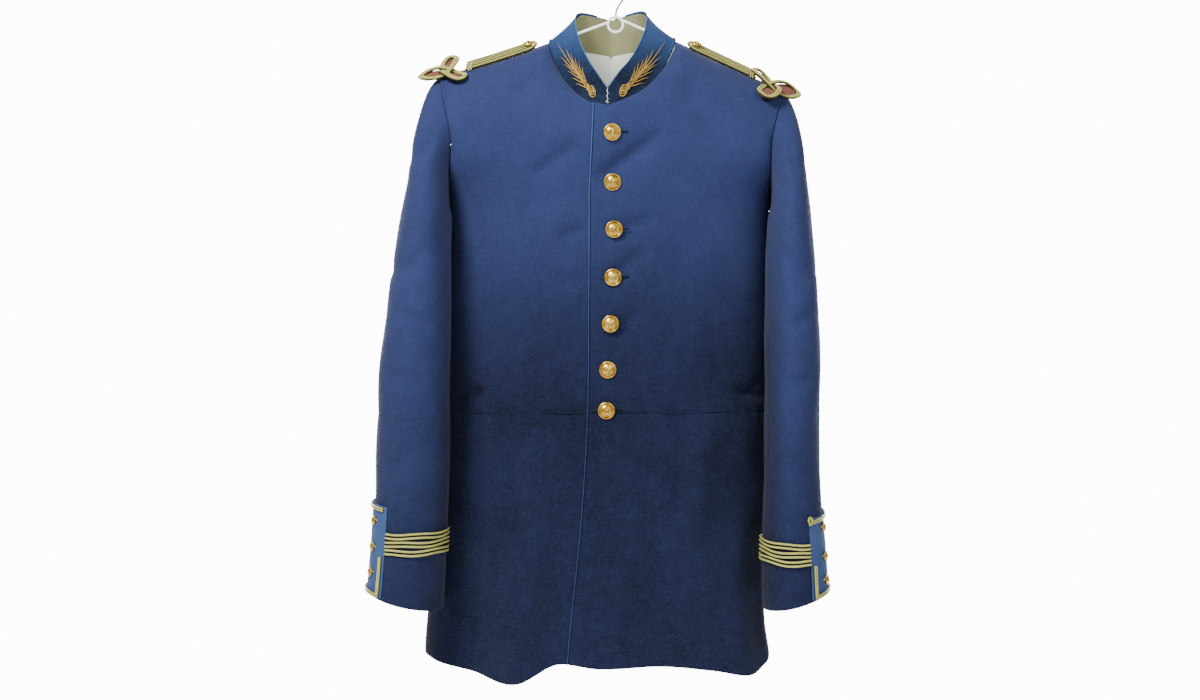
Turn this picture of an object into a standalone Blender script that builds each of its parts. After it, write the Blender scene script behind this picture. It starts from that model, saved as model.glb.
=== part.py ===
"""A military dress tunic on a wire hanger, in metres, with +Z up.

The origin is the inner top of the hanger's steel hook, the wearer's left is +X
and the front faces -Y. Sizes in the tables are millimetres. Sides are -1 for
the wearer's right, at -X, and 1 for the wearer's left, at +X.
"""

import math

import bmesh
import bpy
import numpy as np
from mathutils import Matrix, Vector

MM = 0.001
OBJECT_NAME = "military_dress_tunic"
RIGHT = -1
LEFT = 1
SIDE_NAMES = {RIGHT: "right", LEFT: "left"}

WOOL = 2.0
VELVET = 1.6
LINING = 1.2
SEAM_GAP = 0.3
UNDERARM_HEIGHT = -262.0
WAIST_HEIGHT = -519.0
HEM_MIDDLE = -825.0
NECK_SIDE = 0.66
NECK_SHARE = 0.42

# height, centre x, half width, depth in front, depth behind
TORSO_RINGS = (
    (-262, -4, 191, 84, 70),
    (-340, -4.5, 194, 86, 70),
    (-440, -6, 194, 76, 62),
    (-519, -7, 193, 67, 58),
    (-620, -12, 195, 70, 64),
    (-735, -20, 200, 76, 70),
    (-835, -18, 209, 80, 74),
)
# place round the body (0 front, 1 side, 2 back), height of the hem
HEM = (
    (-2.0, -812),
    (-1.5, -813),
    (-1.0, -806),
    (-0.76, -811),
    (-0.51, -822),
    (-0.29, -834),
    (-0.145, -813),
    (0.0, -817),
    (0.22, -815),
    (0.43, -820),
    (0.63, -828),
    (0.86, -817),
    (1.0, -808),
    (1.5, -813),
    (2.0, -812),
)
# place round the body, width, how far the fold stands out at the hem
SKIRT_FOLDS = (
    (-0.30, 0.09, 11),
    (-0.15, 0.07, -6),
    (-0.50, 0.08, -5),
    (-0.70, 0.09, 6),
    (0.24, 0.10, -4),
    (0.42, 0.09, 5),
    (0.62, 0.08, 9),
    (0.80, 0.07, -4),
    (-1.28, 0.10, 7),
    (-1.50, 0.10, -6),
    (-1.72, 0.10, 8),
    (1.28, 0.10, 7),
    (1.50, 0.10, -6),
    (1.72, 0.10, 8),
)
# share from front to back, x right, x left, y, z right, z left
NECKLINE = (
    (0.00, -7, -7, -86, -162, -162),
    (0.12, -25, 12, -80, -157, -155),
    (0.28, -43, 34, -67, -145, -142),
    (0.44, -61, 54, -46, -122, -120),
    (0.56, -72, 67, -24, -98, -96),
    (0.66, -77, 75, -2, -77, -75),
    (0.84, -58, 56, 38, -77, -76),
    (1.00, -2, -2, 58, -86, -86),
)
COLLAR_TOP = (
    (0.00, -7.6, -6.4, -75, -140, -140),
    (0.12, -20, 6, -69, -121, -122),
    (0.28, -30, 18, -57, -104, -107),
    (0.44, -38, 28, -42, -85, -90),
    (0.56, -43, 36, -25, -68, -71),
    (0.66, -45, 40, -6, -54, -55),
    (0.84, -38, 35, 28, -37, -35),
    (1.00, -2, -2, 50, -42, -42),
)
# share from neck to shoulder end, x right, x left, y, z right, z left
SHOULDER = (
    (0.00, -77, 75, -2, -77, -75),
    (0.40, -127, 124, 4, -93, -97),
    (0.75, -172, 166, 7, -106, -116),
    (1.00, -203, 197, 8, -113, -130),
)
# turn from the shoulder end down the front, x right, x left, y, z right, z left
ARMHOLE = (
    (0.00, -203, 197, 8, -113, -130),
    (0.08, -206, 200, -20, -124, -140),
    (0.18, -200, 195, -43, -153, -162),
    (0.30, -191, 186, -55, -198, -199),
    (0.41, -193, 185, -46, -241, -240),
    (0.50, -195, 187, 0, -262, -262),
    (0.59, -195, 188, 40, -241, -240),
    (0.70, -194, 188, 52, -198, -199),
    (0.86, -201, 195, 38, -140, -152),
    (1.00, -203, 197, 8, -113, -130),
)
# height, outer x right, inner x right, outer x left, inner x left, y, half depth
SLEEVE_RINGS = (
    (-300, -249, -194, 231, 187, -53, 59),
    (-400, -263, -193, 239, 185, -58, 58),
    (-520, -276, -192, 241, 180, -62, 56),
    (-620, -278, -193, 242, 175, -66, 54),
    (-700, -283, -196, 247, 173, -72, 51),
    (-742, -287, -198, 249, 174, -74, 50),
)
CROWN_END = -300.0
CUFF_HEM_MIDDLE = -735.0
CUFF_HEM_RISE = 10.0
CUFF_FRONT_DROP = 5.0
# height, x of the front edge, which lies over the other front
FRONT_EDGE = (
    (-262, -26.5),
    (-385, -27),
    (-519, -28.5),
    (-634, -35),
    (-703, -41),
    (-773, -47.5),
    (-835, -52.5),
)
EDGE_AT_NECK = -0.060
UNDERLAP = 0.085
OVERLAP_RISE = 2.8
OVERLAP_FADE = 0.30

# columns of the cloth's grids, as shares of the way from the centre to the side,
# and those near the front edge, counted from it
FRONT_COLUMNS = (0.13, 0.18, 0.24, 0.30, 0.36, 0.42, 0.54, 0.66, 0.78, 0.90, 1.0)
BACK_COLUMNS = (0.0, 0.14, 0.28, 0.42, 0.57, 0.72, 0.87, 1.0)
SKIRT_COLUMNS = (0.10, 0.17, 0.24, 0.31, 0.39, 0.47, 0.55, 0.63, 0.71, 0.80, 0.90, 1.0)
OVERLAP_COLUMNS = (0.0, 0.045, 0.09)
UNDERLAP_COLUMNS = (0.085, 0.04, -0.005)
COLLAR_COLUMNS = (0.0, 0.05, 0.127, 0.204, 0.283, 0.377, 0.471, 0.566, 0.66, 0.773, 0.887, 1.0)
BODICE_RISES = (
    -1.0, -0.82, -0.64, -0.46, -0.28, -0.12, 0.0, 0.14, 0.28, 0.42, 0.56, 0.70, 0.83, 0.93, 1.0,
)
SKIRT_FALLS = (0.0, 0.14, 0.30, 0.46, 0.62, 0.76, 0.88, 1.0)
SLEEVE_FALLS = (
    0.0, 0.10, 0.22, 0.36, 0.52, 0.70, 0.86, 1.0, 1.15, 1.30, 1.45, 1.60, 1.75, 1.88, 2.0,
)
SEAM_TRIM = 0.75
BACK_TRIM = 1.3
SLEEVE_TRIM = 1.45

# height, x of each front button
FRONT_BUTTONS = (
    (-193.8, -2.2),
    (-250.5, -1.2),
    (-305.9, 0.6),
    (-361.0, -0.6),
    (-414.6, -3.6),
    (-468.0, -6.6),
    (-516.0, -8.2),
)
# the search for a button's place, with rough millimetres to a unit of place and rise
SEARCH_STEPS = 30
CHEST_TO_PLACE = 330.0
YOKE_TO_RISE = 120.0
FRONT_BUTTON_DIAMETER = 20.5
CUFF_BUTTON_DIAMETER = 11.0
SHOULDER_BUTTON_DIAMETER = 13.0
SHOULDER_BUTTON_AIM = {RIGHT: (-0.16, -0.45, 0.88), LEFT: (0.22, -0.45, 0.88)}
STRAP_WIDTH = 22.0
STRAP_HEIGHT = 3.2
STRAP_LIFT = 0.5
STRAP_AHEAD = 13.0
BUTTON_STEPS = 14
SMALL_BUTTON_STEPS = 10

# side, heights of the three cuff buttons
CUFF_BUTTONS = {RIGHT: (-642, -672, -701), LEFT: (-650, -683, -710)}
CUFF_BRAIDS = {RIGHT: (-656.0, -665.5, -675.0), LEFT: (-665.5, -675.0, -684.5)}
CUFF_PATCH_TOP = {RIGHT: (-616, -626), LEFT: (-626, -640)}
CUFF_PATCH_TURNS = {RIGHT: (-0.095, 0.135), LEFT: (-0.095, 0.165)}
BRAID_WIDTH = 8.4
BRAID_HEIGHT = 2.2
BRAID_DIP = 4.0

# the knot's centre, the way its outer loop points and the way its back loops point
KNOTS = {
    RIGHT: ((-202.0, -14.0, -110.5), (-29.6, -4.5, -5.8), (-6.9, 26.0, 14.2)),
    LEFT: ((194.5, -23.0, -127.5), (35.7, 12.5, -5.7), (-9.8, 33.8, 15.6)),
}
KNOT_REACH = {RIGHT: 31.0, LEFT: 34.0}
# how far each loop swings out and how wide it is, as shares of the reach
KNOT_WIDE = 0.418
KNOT_LONG = 0.582
KNOT_LIFT = 3.0
KNOT_STEPS = 42

# share from ball to tip, half width of a flaming grenade
GRENADE = (
    (0.000, 2.6),
    (0.025, 4.9),
    (0.060, 5.9),
    (0.095, 4.7),
    (0.125, 2.2),
    (0.180, 4.8),
    (0.270, 7.8),
    (0.370, 9.2),
    (0.480, 9.0),
    (0.600, 7.6),
    (0.720, 5.4),
    (0.860, 2.6),
    (1.000, 0.8),
)
# share round the collar and rise on it, of the ball's foot and the flame's tip
GRENADE_START = (0.095, 0.27)
GRENADE_END = (0.610, 0.31)
GRENADE_BOW = 0.15

PIPING_DIAMETER = 2.0
TRIM_DIAMETER = 3.4
KNOT_DIAMETER = 4.6
COLLAR_HOOK_DIAMETER = 1.4
# from the foot of the collar's front join
COLLAR_HOOK_STEPS = (
    (-3.2, -1.6, 5.4),
    (-2.4, -2.4, 3.2),
    (0.0, -2.6, 2.2),
    (2.4, -2.4, 3.4),
    (3.4, -1.6, 5.8),
)
BRAID_WALL = 0.8
STRAP_WALL = 1.4
EMBLEM_WALL = 1.0

WIRE_DIAMETER = 3.1
EYE_DIAMETER = 18.0
EYE_CENTRE = (3.0, 0.0, -55.0)
EYE_TURN = (-75.0, 405.0)
EYE_STEPS = 24
EYE_PITCH = 4.2
ARM_CLEARANCE = 2.0
RIGHT_ARM_START = ((-43.0, 0.0, -66.0), (-67.0, 0.0, -84.0))
LEFT_ARM_START = ((39.0, 0.0, -62.0), (65.0, 0.0, -83.0))
BAR_HEIGHT = -184.0
HOOK_DIAMETER = 2.4
HOOK_RADIUS = 16.0
HOOK_TURN = (112.0, -100.0)
HOOK_STEPS = 14


def row_at(rows, at):
    """The other columns of a table where its first is at, on a smooth curve."""
    keys = np.array([row[0] for row in rows], float)
    values = np.array([row[1:] for row in rows], float)
    if keys[0] > keys[-1]:
        keys, values = keys[::-1], values[::-1]
    slopes = np.gradient(values, keys, axis=0)
    low = int(np.clip(np.searchsorted(keys, at) - 1, 0, len(keys) - 2))
    span = keys[low + 1] - keys[low]
    t = float(np.clip((at - keys[low]) / span, 0.0, 1.0))
    return (
        (2 * t**3 - 3 * t**2 + 1) * values[low]
        + (t**3 - 2 * t**2 + t) * span * slopes[low]
        + (3 * t**2 - 2 * t**3) * values[low + 1]
        + (t**3 - t**2) * span * slopes[low + 1]
    )


def sided_point(rows, side, at):
    """A point of a table that has x and z columns for both sides."""
    x_right, x_left, y, z_right, z_left = row_at(rows, at)
    if side == RIGHT:
        return np.array((x_right, y, z_right))
    return np.array((x_left, y, z_left))


def smooth_step(low, high, value):
    t = min(max((value - low) / (high - low), 0.0), 1.0)
    return t * t * (3 - 2 * t)


def mix(a, b, t):
    return a + (b - a) * t


def torso_point(place, height):
    """The outer face below the arms; place is 0 in front, 1 or -1 at a side."""
    centre, half_width, front, behind = row_at(TORSO_RINGS, height)
    angle = place * math.pi / 2
    cosine = math.cos(angle)
    swell = sum(
        stand * math.exp(-(((place - at) / width) ** 2))
        for at, width, stand in SKIRT_FOLDS
    ) * smooth_step(WAIST_HEIGHT, -800.0, height)
    depth = (front if cosine > 0 else behind) + swell
    y = -math.copysign(depth * abs(cosine) ** 0.75, cosine)
    x = centre + (half_width + swell * abs(math.sin(angle)) * 0.4) * math.sin(angle)
    return np.array((x, y, height))


def yoke_top(side, back, share):
    """The neckline, then the shoulder seam, from the centre outwards."""
    if share <= NECK_SHARE:
        along = share / NECK_SHARE
        if back:
            return sided_point(NECKLINE, side, 1 - along * (1 - NECK_SIDE))
        return sided_point(NECKLINE, side, along * NECK_SIDE)
    return sided_point(SHOULDER, side, (share - NECK_SHARE) / (1 - NECK_SHARE))


def yoke_column(side, back, share, rise):
    """One rib from the underarm line to the neck or the shoulder seam."""
    place = side * (2 - share if back else share)
    low = torso_point(place, UNDERARM_HEIGHT)
    high = yoke_top(side, back, share)
    length = np.linalg.norm(high - low)
    start_lean, end_lean = (0.12, 1.46) if back else (0.60, 1.46)
    lean = mix(start_lean, end_lean, smooth_step(0.0, NECK_SHARE, share))
    over = -1.0 if back else 1.0
    leave = np.array((0.0, 0.0, length))
    arrive = np.array((0.0, over * math.sin(lean), math.cos(lean))) * length * 0.95
    t = rise
    return (
        (2 * t**3 - 3 * t**2 + 1) * low
        + (t**3 - 2 * t**2 + t) * leave
        + (3 * t**2 - 2 * t**3) * high
        + (t**3 - t**2) * arrive
    )


def yoke_point(side, back, share, rise):
    """The outer face above the underarm line, drawn out to meet the armhole."""
    turn = 0.5 + 0.5 * rise if back else 0.5 - 0.5 * rise
    armhole = sided_point(ARMHOLE, side, turn)
    reach = armhole - yoke_column(side, back, 1.0, rise)
    return yoke_column(side, back, share, rise) + reach * max(share, 0.0) ** 2.2


def bodice_point(side, back, share, rise):
    """rise runs from -1 at the waist seam, by 0 at the underarm, to 1 on top."""
    if rise >= 0:
        return yoke_point(side, back, share, rise)
    height = mix(UNDERARM_HEIGHT, WAIST_HEIGHT, -rise)
    return torso_point(side * (2 - share if back else share), height)


def skirt_point(place, fall):
    hem = row_at(HEM, place)[0]
    return torso_point(place, mix(WAIST_HEIGHT - SEAM_GAP, hem, fall))


def edge_place(rise):
    """Where the front edge lies, for a bodice rise of -1 to 1."""
    if rise >= 0:
        return mix(edge_place_at(UNDERARM_HEIGHT), EDGE_AT_NECK, rise)
    return edge_place_at(mix(UNDERARM_HEIGHT, WAIST_HEIGHT, -rise))


def edge_place_at(height):
    centre, half_width, _, _ = row_at(TORSO_RINGS, height)
    return math.asin((row_at(FRONT_EDGE, height)[0] - centre) / half_width) * 2 / math.pi


def front_point(place, rise):
    """A point of either front by its signed place."""
    return bodice_point(LEFT if place >= 0 else RIGHT, False, abs(place), rise)


def outward(surface, a, b, away_from):
    """The unit normal of a surface at a and b, on the side away from a point."""
    step = 0.004
    along = surface(a + step, b) - surface(a - step, b)
    across = surface(a, b + step) - surface(a, b - step)
    normal = np.cross(along, across)
    normal /= max(np.linalg.norm(normal), 1e-9)
    if np.dot(normal, surface(a, b) - away_from) < 0:
        normal = -normal
    return normal


def raised(surface, a, b, height, away_from):
    return surface(a, b) + outward(surface, a, b, away_from) * height


def sleeve_ring(side, turn, height):
    outer_right, inner_right, outer_left, inner_left, y, depth = row_at(SLEEVE_RINGS, height)
    outer, inner = (outer_right, inner_right) if side == RIGHT else (outer_left, inner_left)
    angle = 2 * math.pi * turn
    middle = (outer + inner) / 2
    return np.array(
        (
            middle + (outer - inner) / 2 * math.cos(angle),
            y - depth * math.sin(angle),
            height,
        )
    )


def cuff_hem(turn):
    angle = 2 * math.pi * turn
    return CUFF_HEM_MIDDLE + CUFF_HEM_RISE * math.cos(angle) - CUFF_FRONT_DROP * math.sin(angle)


def sleeve_point(side, turn, fall):
    """fall is 0 at the armhole, 1 where the crown ends and 2 at the hem."""
    if fall >= 1:
        return sleeve_ring(side, turn, mix(CROWN_END, cuff_hem(turn), fall - 1))
    start = sided_point(ARMHOLE, side, turn % 1.0)
    end = sleeve_ring(side, turn, CROWN_END)
    below = sleeve_ring(side, turn, CROWN_END - 10)
    length = np.linalg.norm(end - start)
    angle = 2 * math.pi * turn
    top = max(math.cos(angle), 0.0)
    under = max(-math.cos(angle), 0.0)
    out = 0.25 + 0.75 * top - 0.05 * under
    leave = np.array(
        (side * out, -0.30 * math.sin(angle) * (1 - under), -0.35 * top - 0.95 * under - 0.25)
    )
    leave = leave / np.linalg.norm(leave) * length * (0.55 + 0.25 * under)
    arrive = (below - end) / 10 * length * (1.0 + 0.25 * top)
    t = fall
    return (
        (2 * t**3 - 3 * t**2 + 1) * start
        + (t**3 - 2 * t**2 + t) * leave
        + (3 * t**2 - 2 * t**3) * end
        + (t**3 - t**2) * arrive
    )


def on_sleeve(side, turn, height, lift):
    """A point above the lower sleeve at a height, lifted off its cloth."""
    middle = (sleeve_ring(side, 0.0, height) + sleeve_ring(side, 0.5, height)) / 2
    return raised(lambda a, b: sleeve_ring(side, a, b), turn, height, lift, middle)


def collar_point(side, share, rise):
    """rise is 0 at the neck seam and 1 on the top edge."""
    low = sided_point(NECKLINE, side, share)
    high = sided_point(COLLAR_TOP, side, share)
    return mix(low, high, rise)


def collection_for_object():
    for obj in list(bpy.data.objects):
        bpy.data.objects.remove(obj, do_unlink=True)
    made = bpy.data.collections.new(OBJECT_NAME)
    bpy.context.scene.collection.children.link(made)
    return made


COLLECTION = collection_for_object()


def new_material(name, colour, roughness, metallic=0.0):
    material = bpy.data.materials.new(name)
    material.use_nodes = True
    shader = material.node_tree.nodes["Principled BSDF"]
    shader.inputs["Base Color"].default_value = (*colour, 1.0)
    shader.inputs["Roughness"].default_value = roughness
    shader.inputs["Metallic"].default_value = metallic
    return material


def add_object(name, data, material):
    obj = bpy.data.objects.new(name, data)
    data.materials.append(material)
    COLLECTION.objects.link(obj)
    return obj


def shade_round(mesh):
    mesh.shade_smooth()
    mesh.set_sharp_from_angle(angle=math.radians(40))


def trimmed(points, trim):
    """A grid of points with its edges drawn in by a distance."""
    points = points.copy()
    for lines in (points, points.swapaxes(0, 1)):
        for edge, beside in ((0, 1), (-1, -2)):
            step = lines[beside] - lines[edge]
            lines[edge] += step / np.linalg.norm(step, axis=1, keepdims=True) * trim
    return points


def panel(name, surface, columns, rows, thickness, material, away_from, trim=0.0):
    """An open sheet on a surface, thickened inwards from its outer face."""
    points = np.array([[surface(column, row) for row in rows] for column in columns])
    if trim:
        points = trimmed(points, trim)
    mesh_maker = bmesh.new()
    bmesh.ops.create_grid(
        mesh_maker, x_segments=len(columns) - 1, y_segments=len(rows) - 1, size=1
    )
    for vertex in mesh_maker.verts:
        i = round((vertex.co.x + 1) / 2 * (len(columns) - 1))
        j = round((vertex.co.y + 1) / 2 * (len(rows) - 1))
        vertex.co = Vector(points[i, j] * MM)
    mesh_maker.normal_update()
    centre = Vector(away_from) * MM
    facing = sum(face.normal.dot(face.calc_center_median() - centre) for face in mesh_maker.faces)
    if facing < 0:
        bmesh.ops.reverse_faces(mesh_maker, faces=mesh_maker.faces[:])
    mesh = bpy.data.meshes.new(name)
    mesh_maker.to_mesh(mesh)
    mesh_maker.free()
    obj = add_object(name, mesh, material)
    solidify = obj.modifiers.new("wall", "SOLIDIFY")
    solidify.thickness = thickness * MM
    solidify.offset = -1
    shade_round(mesh)
    return obj


def tube(name, points, diameter, material, closed=False, sides=2):
    """A round cord or wire along a list of points."""
    curve = bpy.data.curves.new(name, "CURVE")
    curve.dimensions = "3D"
    curve.bevel_depth = diameter / 2 * MM
    curve.bevel_resolution = sides
    curve.use_fill_caps = not closed
    spline = curve.splines.new("POLY")
    spline.points.add(len(points) - 1)
    for place, point in zip(spline.points, points):
        place.co = (*(np.array(point) * MM), 1.0)
    spline.use_cyclic_u = closed
    return add_object(name, curve, material)


def shares(start, end, count):
    return [mix(start, end, i / (count - 1)) for i in range(count)]


def smooth_path(points, steps):
    """Points on a smooth curve through a few, steps to each stretch."""
    rows = [(i, *point) for i, point in enumerate(points)]
    count = (len(points) - 1) * steps + 1
    return [row_at(rows, i / steps) for i in range(count)]


def turned(name, profile, material, place, normal, steps):
    """A profile of radius and height, turned about the surface's normal."""
    mesh = bpy.data.meshes.new(name)
    mesh.from_pydata(
        [(radius * MM, 0, height * MM) for radius, height in profile],
        [(i, i + 1) for i in range(len(profile) - 1)],
        [],
    )
    obj = add_object(name, mesh, material)
    screw = obj.modifiers.new("turn", "SCREW")
    screw.steps = steps
    screw.render_steps = steps
    screw.use_merge_vertices = True
    screw.merge_threshold = 0.00005
    screw.use_smooth_shade = True
    aim = Vector(normal).to_track_quat("Z", "Y").to_matrix().to_4x4()
    obj.matrix_world = Matrix.Translation(Vector(place) * MM) @ aim
    return obj


def domed_button(name, diameter, material, place, normal, steps=BUTTON_STEPS):
    """A hollow-backed dress button: a dome inside a plain rim."""
    radius = diameter / 2
    profile = (
        (0, radius * 0.52),
        (radius * 0.34, radius * 0.47),
        (radius * 0.62, radius * 0.33),
        (radius * 0.76, radius * 0.20),
        (radius * 0.88, radius * 0.28),
        (radius, radius * 0.17),
        (radius * 0.94, radius * 0.04),
        (radius * 0.50, 0),
        (0, 0),
    )
    return turned(name, profile, material, place, normal, steps)


def make_bodice(wool):
    """The two fronts, the left over the right, and the two backs."""
    inside = (-5.0, 0.0, -330.0)

    def over(column, rise):
        place = edge_place(rise) + column if column < FRONT_COLUMNS[0] else column
        here = front_point(place, rise)
        stand = overlap_stand(place)
        if stand < 0.01:
            return here
        away = np.array((-5.0, 0.0, here[2] - 20))
        return here + outward(front_point, place, min(rise, 0.98), away) * stand

    def under(column, rise):
        place = edge_place(rise) + column if column < FRONT_COLUMNS[0] else -column
        return front_point(place, rise)

    over_columns = OVERLAP_COLUMNS + FRONT_COLUMNS
    under_columns = UNDERLAP_COLUMNS + FRONT_COLUMNS
    panel("bodice_front_left", over, over_columns, BODICE_RISES, WOOL, wool, inside, SEAM_TRIM)
    panel("bodice_front_right", under, under_columns, BODICE_RISES, WOOL, wool, inside, SEAM_TRIM)
    for side in (RIGHT, LEFT):
        panel(
            f"bodice_back_{SIDE_NAMES[side]}",
            lambda share, rise, side=side: bodice_point(side, True, share, rise),
            BACK_COLUMNS,
            BODICE_RISES,
            WOOL,
            wool,
            inside,
            BACK_TRIM,
        )


def make_skirt(wool):
    """Two fronts and two backs, from the waist seam to the hem."""
    inside = (-15.0, 0.0, -680.0)

    def edge(fall):
        return edge_place_at(mix(WAIST_HEIGHT, HEM_MIDDLE, fall))

    def over(column, fall):
        place = edge(fall) + column if column < SKIRT_COLUMNS[0] else column
        here = skirt_point(place, fall)
        away = np.array((-15.0, 0.0, here[2]))
        return here + outward(skirt_point, place, min(fall, 0.98), away) * overlap_stand(place)

    def under(column, fall):
        place = edge(fall) + column if column < SKIRT_COLUMNS[0] else -column
        return skirt_point(place, fall)

    over_columns = OVERLAP_COLUMNS + SKIRT_COLUMNS
    under_columns = UNDERLAP_COLUMNS + SKIRT_COLUMNS
    panel("skirt_front_left", over, over_columns, SKIRT_FALLS, WOOL, wool, inside, SEAM_TRIM)
    panel("skirt_front_right", under, under_columns, SKIRT_FALLS, WOOL, wool, inside, SEAM_TRIM)
    for side in (RIGHT, LEFT):
        panel(
            f"skirt_back_{SIDE_NAMES[side]}",
            lambda place, fall, side=side: skirt_point(side * place, fall),
            shares(1.0, 2.0, 12),
            SKIRT_FALLS,
            WOOL,
            wool,
            inside,
            SEAM_TRIM,
        )


def make_sleeves(wool):
    """Each sleeve has a top half outside and an under half inside."""
    halves = (("top", -0.27, 0.43, 12), ("under", 0.43, 0.73, 7))
    for side in (RIGHT, LEFT):
        inside = (side * 230.0, -40.0, -480.0)
        for half, start, end, columns in halves:
            panel(
                f"sleeve_{half}_{SIDE_NAMES[side]}",
                lambda turn, fall, side=side: sleeve_point(side, turn, fall),
                shares(start, end, columns),
                SLEEVE_FALLS,
                WOOL,
                wool,
                inside,
                SLEEVE_TRIM,
            )


def make_collar(velvet, lining, back_lining):
    """A velvet stand collar in two halves, its lining and the back's lining."""
    inside = (-4.0, -8.0, -100.0)
    for side in (RIGHT, LEFT):
        panel(
            f"collar_{SIDE_NAMES[side]}",
            lambda share, rise, side=side: collar_point(side, share, rise),
            COLLAR_COLUMNS,
            (0.02, 0.35, 0.68, 1.0),
            VELVET,
            velvet,
            inside,
            SEAM_TRIM,
        )

    def inner(place, rise):
        side = LEFT if place >= 0 else RIGHT
        share = 1 - abs(place)

        def at(a, b):
            return collar_point(side, a, b)

        return raised(at, min(share, 0.99), rise, -VELVET - 1.3, np.array(inside))

    half = [1 - share for share in COLLAR_COLUMNS[2:-1]]
    around = [-share for share in half] + [0.0] + half[::-1]
    panel("collar_lining", inner, around, (0.02, 0.48, 0.94), LINING, lining, inside)

    shoulders = (-4.0, 0.0, -200.0)
    for side in (RIGHT, LEFT):

        def at(a, b, side=side):
            return bodice_point(side, True, a, b)

        panel(
            f"back_lining_{SIDE_NAMES[side]}",
            lambda a, b, at=at: raised(at, max(a, 0.01), b, -WOOL - 1.3, np.array(shoulders)),
            BACK_COLUMNS[:4],
            BODICE_RISES[9:-1] + (0.95,),
            LINING,
            back_lining,
            shoulders,
            SEAM_TRIM,
        )


def overlap_stand(place):
    """How far the upper front stands off, over the lower front and beyond it."""
    return OVERLAP_RISE * (1 - smooth_step(UNDERLAP - 0.05, OVERLAP_FADE, place))


def front_normal(place, rise):
    here = front_point(place, rise)
    return outward(front_point, place, rise, np.array((-5.0, 0.0, here[2] - 10)))


def make_piping(piped):
    """The light piping along the front edge, resting on the front below."""
    points = []
    lift = PIPING_DIAMETER / 2 + 2 * SEAM_GAP
    before_edge = np.array((-lift, 0.0, 0.0))
    for rise in shares(0.985, -1.0, 16):
        place = edge_place(rise)
        points.append(front_point(place, rise) + front_normal(place, rise) * lift + before_edge)
    for fall in shares(0.06, 1.0, 10):
        place = edge_place_at(mix(WAIST_HEIGHT, HEM_MIDDLE, fall))
        here = skirt_point(place, fall)
        normal = outward(skirt_point, place, min(fall, 0.98), np.array((-15.0, 0.0, here[2])))
        points.append(here + normal * lift + before_edge)
    tube("front_piping", points, PIPING_DIAMETER, piped)


def place_at_x(x, height):
    """The place and rise on the fronts of a point seen at x and a height."""
    if height <= UNDERARM_HEIGHT:
        centre, half_width, _, _ = row_at(TORSO_RINGS, height)
        rise = -(UNDERARM_HEIGHT - height) / (UNDERARM_HEIGHT - WAIST_HEIGHT)
        return math.asin((x - centre) / half_width) * 2 / math.pi, rise
    place, rise = 0.0, 0.5
    for _ in range(SEARCH_STEPS):
        here = front_point(place, rise)
        place += (x - here[0]) / CHEST_TO_PLACE
        rise += (height - here[2]) / YOKE_TO_RISE
    return place, rise


def make_front_buttons(gilt):
    for number, (height, x) in enumerate(FRONT_BUTTONS, 1):
        place, rise = place_at_x(x, height)
        normal = front_normal(place, rise)
        seat = front_point(place, rise) + normal * (OVERLAP_RISE + 0.5)
        domed_button(f"front_button_{number}", FRONT_BUTTON_DIAMETER, gilt, seat, normal)


def patch_top(side, turn):
    start, end = CUFF_PATCH_TURNS[side]
    outer, inner = CUFF_PATCH_TOP[side]
    return mix(outer, inner, (turn - start) / (end - start))


def make_cuffs(velvet, gold, gilt):
    """Velvet patches, three braids and three buttons on each cuff."""
    for side in (RIGHT, LEFT):
        word = SIDE_NAMES[side]
        start, end = CUFF_PATCH_TURNS[side]

        def on_patch(turn, share, side=side):
            height = mix(patch_top(side, turn), cuff_hem(turn) + 3.0, share)
            return on_sleeve(side, turn, height, 2 * SEAM_GAP + VELVET)

        middle = (side * 230.0, -60.0, -690.0)
        panel(
            f"cuff_patch_{word}",
            on_patch,
            shares(start, end, 9),
            shares(0.0, 1.0, 6),
            VELVET,
            velvet,
            middle,
        )
        for number, height in enumerate(CUFF_BRAIDS[side], 1):
            ridges = (0.45, 1.0, 0.55, 1.0, 0.45)

            def on_braid(turn, across, side=side, height=height):
                dip = BRAID_DIP * max(math.sin(2 * math.pi * turn), 0.0)
                lift = 2 * SEAM_GAP + BRAID_HEIGHT * ridges[round(across * 4)]
                return on_sleeve(side, turn, height - dip + (0.5 - across) * BRAID_WIDTH, lift)

            panel(
                f"cuff_braid_{number}_{word}",
                on_braid,
                shares(end + 0.008, start + 1 - 0.008, 17),
                (0.0, 0.25, 0.5, 0.75, 1.0),
                BRAID_WALL,
                gold,
                middle,
            )
        make_cuff_trim(side, gold)
        for number, height in enumerate(CUFF_BUTTONS[side], 1):
            turn = 0.012
            normal = on_sleeve(side, turn, height, 1.0) - on_sleeve(side, turn, height, 0.0)
            seat = on_sleeve(side, turn, height, 3 * SEAM_GAP + VELVET + 0.2)
            name = f"cuff_button_{number}_{word}"
            domed_button(name, CUFF_BUTTON_DIAMETER, gilt, seat, normal, SMALL_BUTTON_STEPS)


def make_cuff_trim(side, gold):
    """A gold cord over the patch: top edge, lower inner edge and bottom edge."""
    start, end = CUFF_PATCH_TURNS[side]
    lift = SEAM_GAP * 3 + VELVET + 1.9
    inset = 0.022
    route = [(turn, patch_top(side, turn) - 4.0) for turn in shares(end - inset, start + inset, 7)]
    route += [(start + inset, height) for height in (-660, -695)]
    route += [
        (turn, cuff_hem(turn) + 5.0) for turn in shares(start + inset, end - inset, 7)
    ]
    route += [(end - inset, height) for height in (-712, CUFF_BRAIDS[side][2] - 8.0)]
    points = [on_sleeve(side, turn, height, lift) for turn, height in route]
    tube(f"cuff_trim_{SIDE_NAMES[side]}", points, TRIM_DIAMETER, gold)


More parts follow.
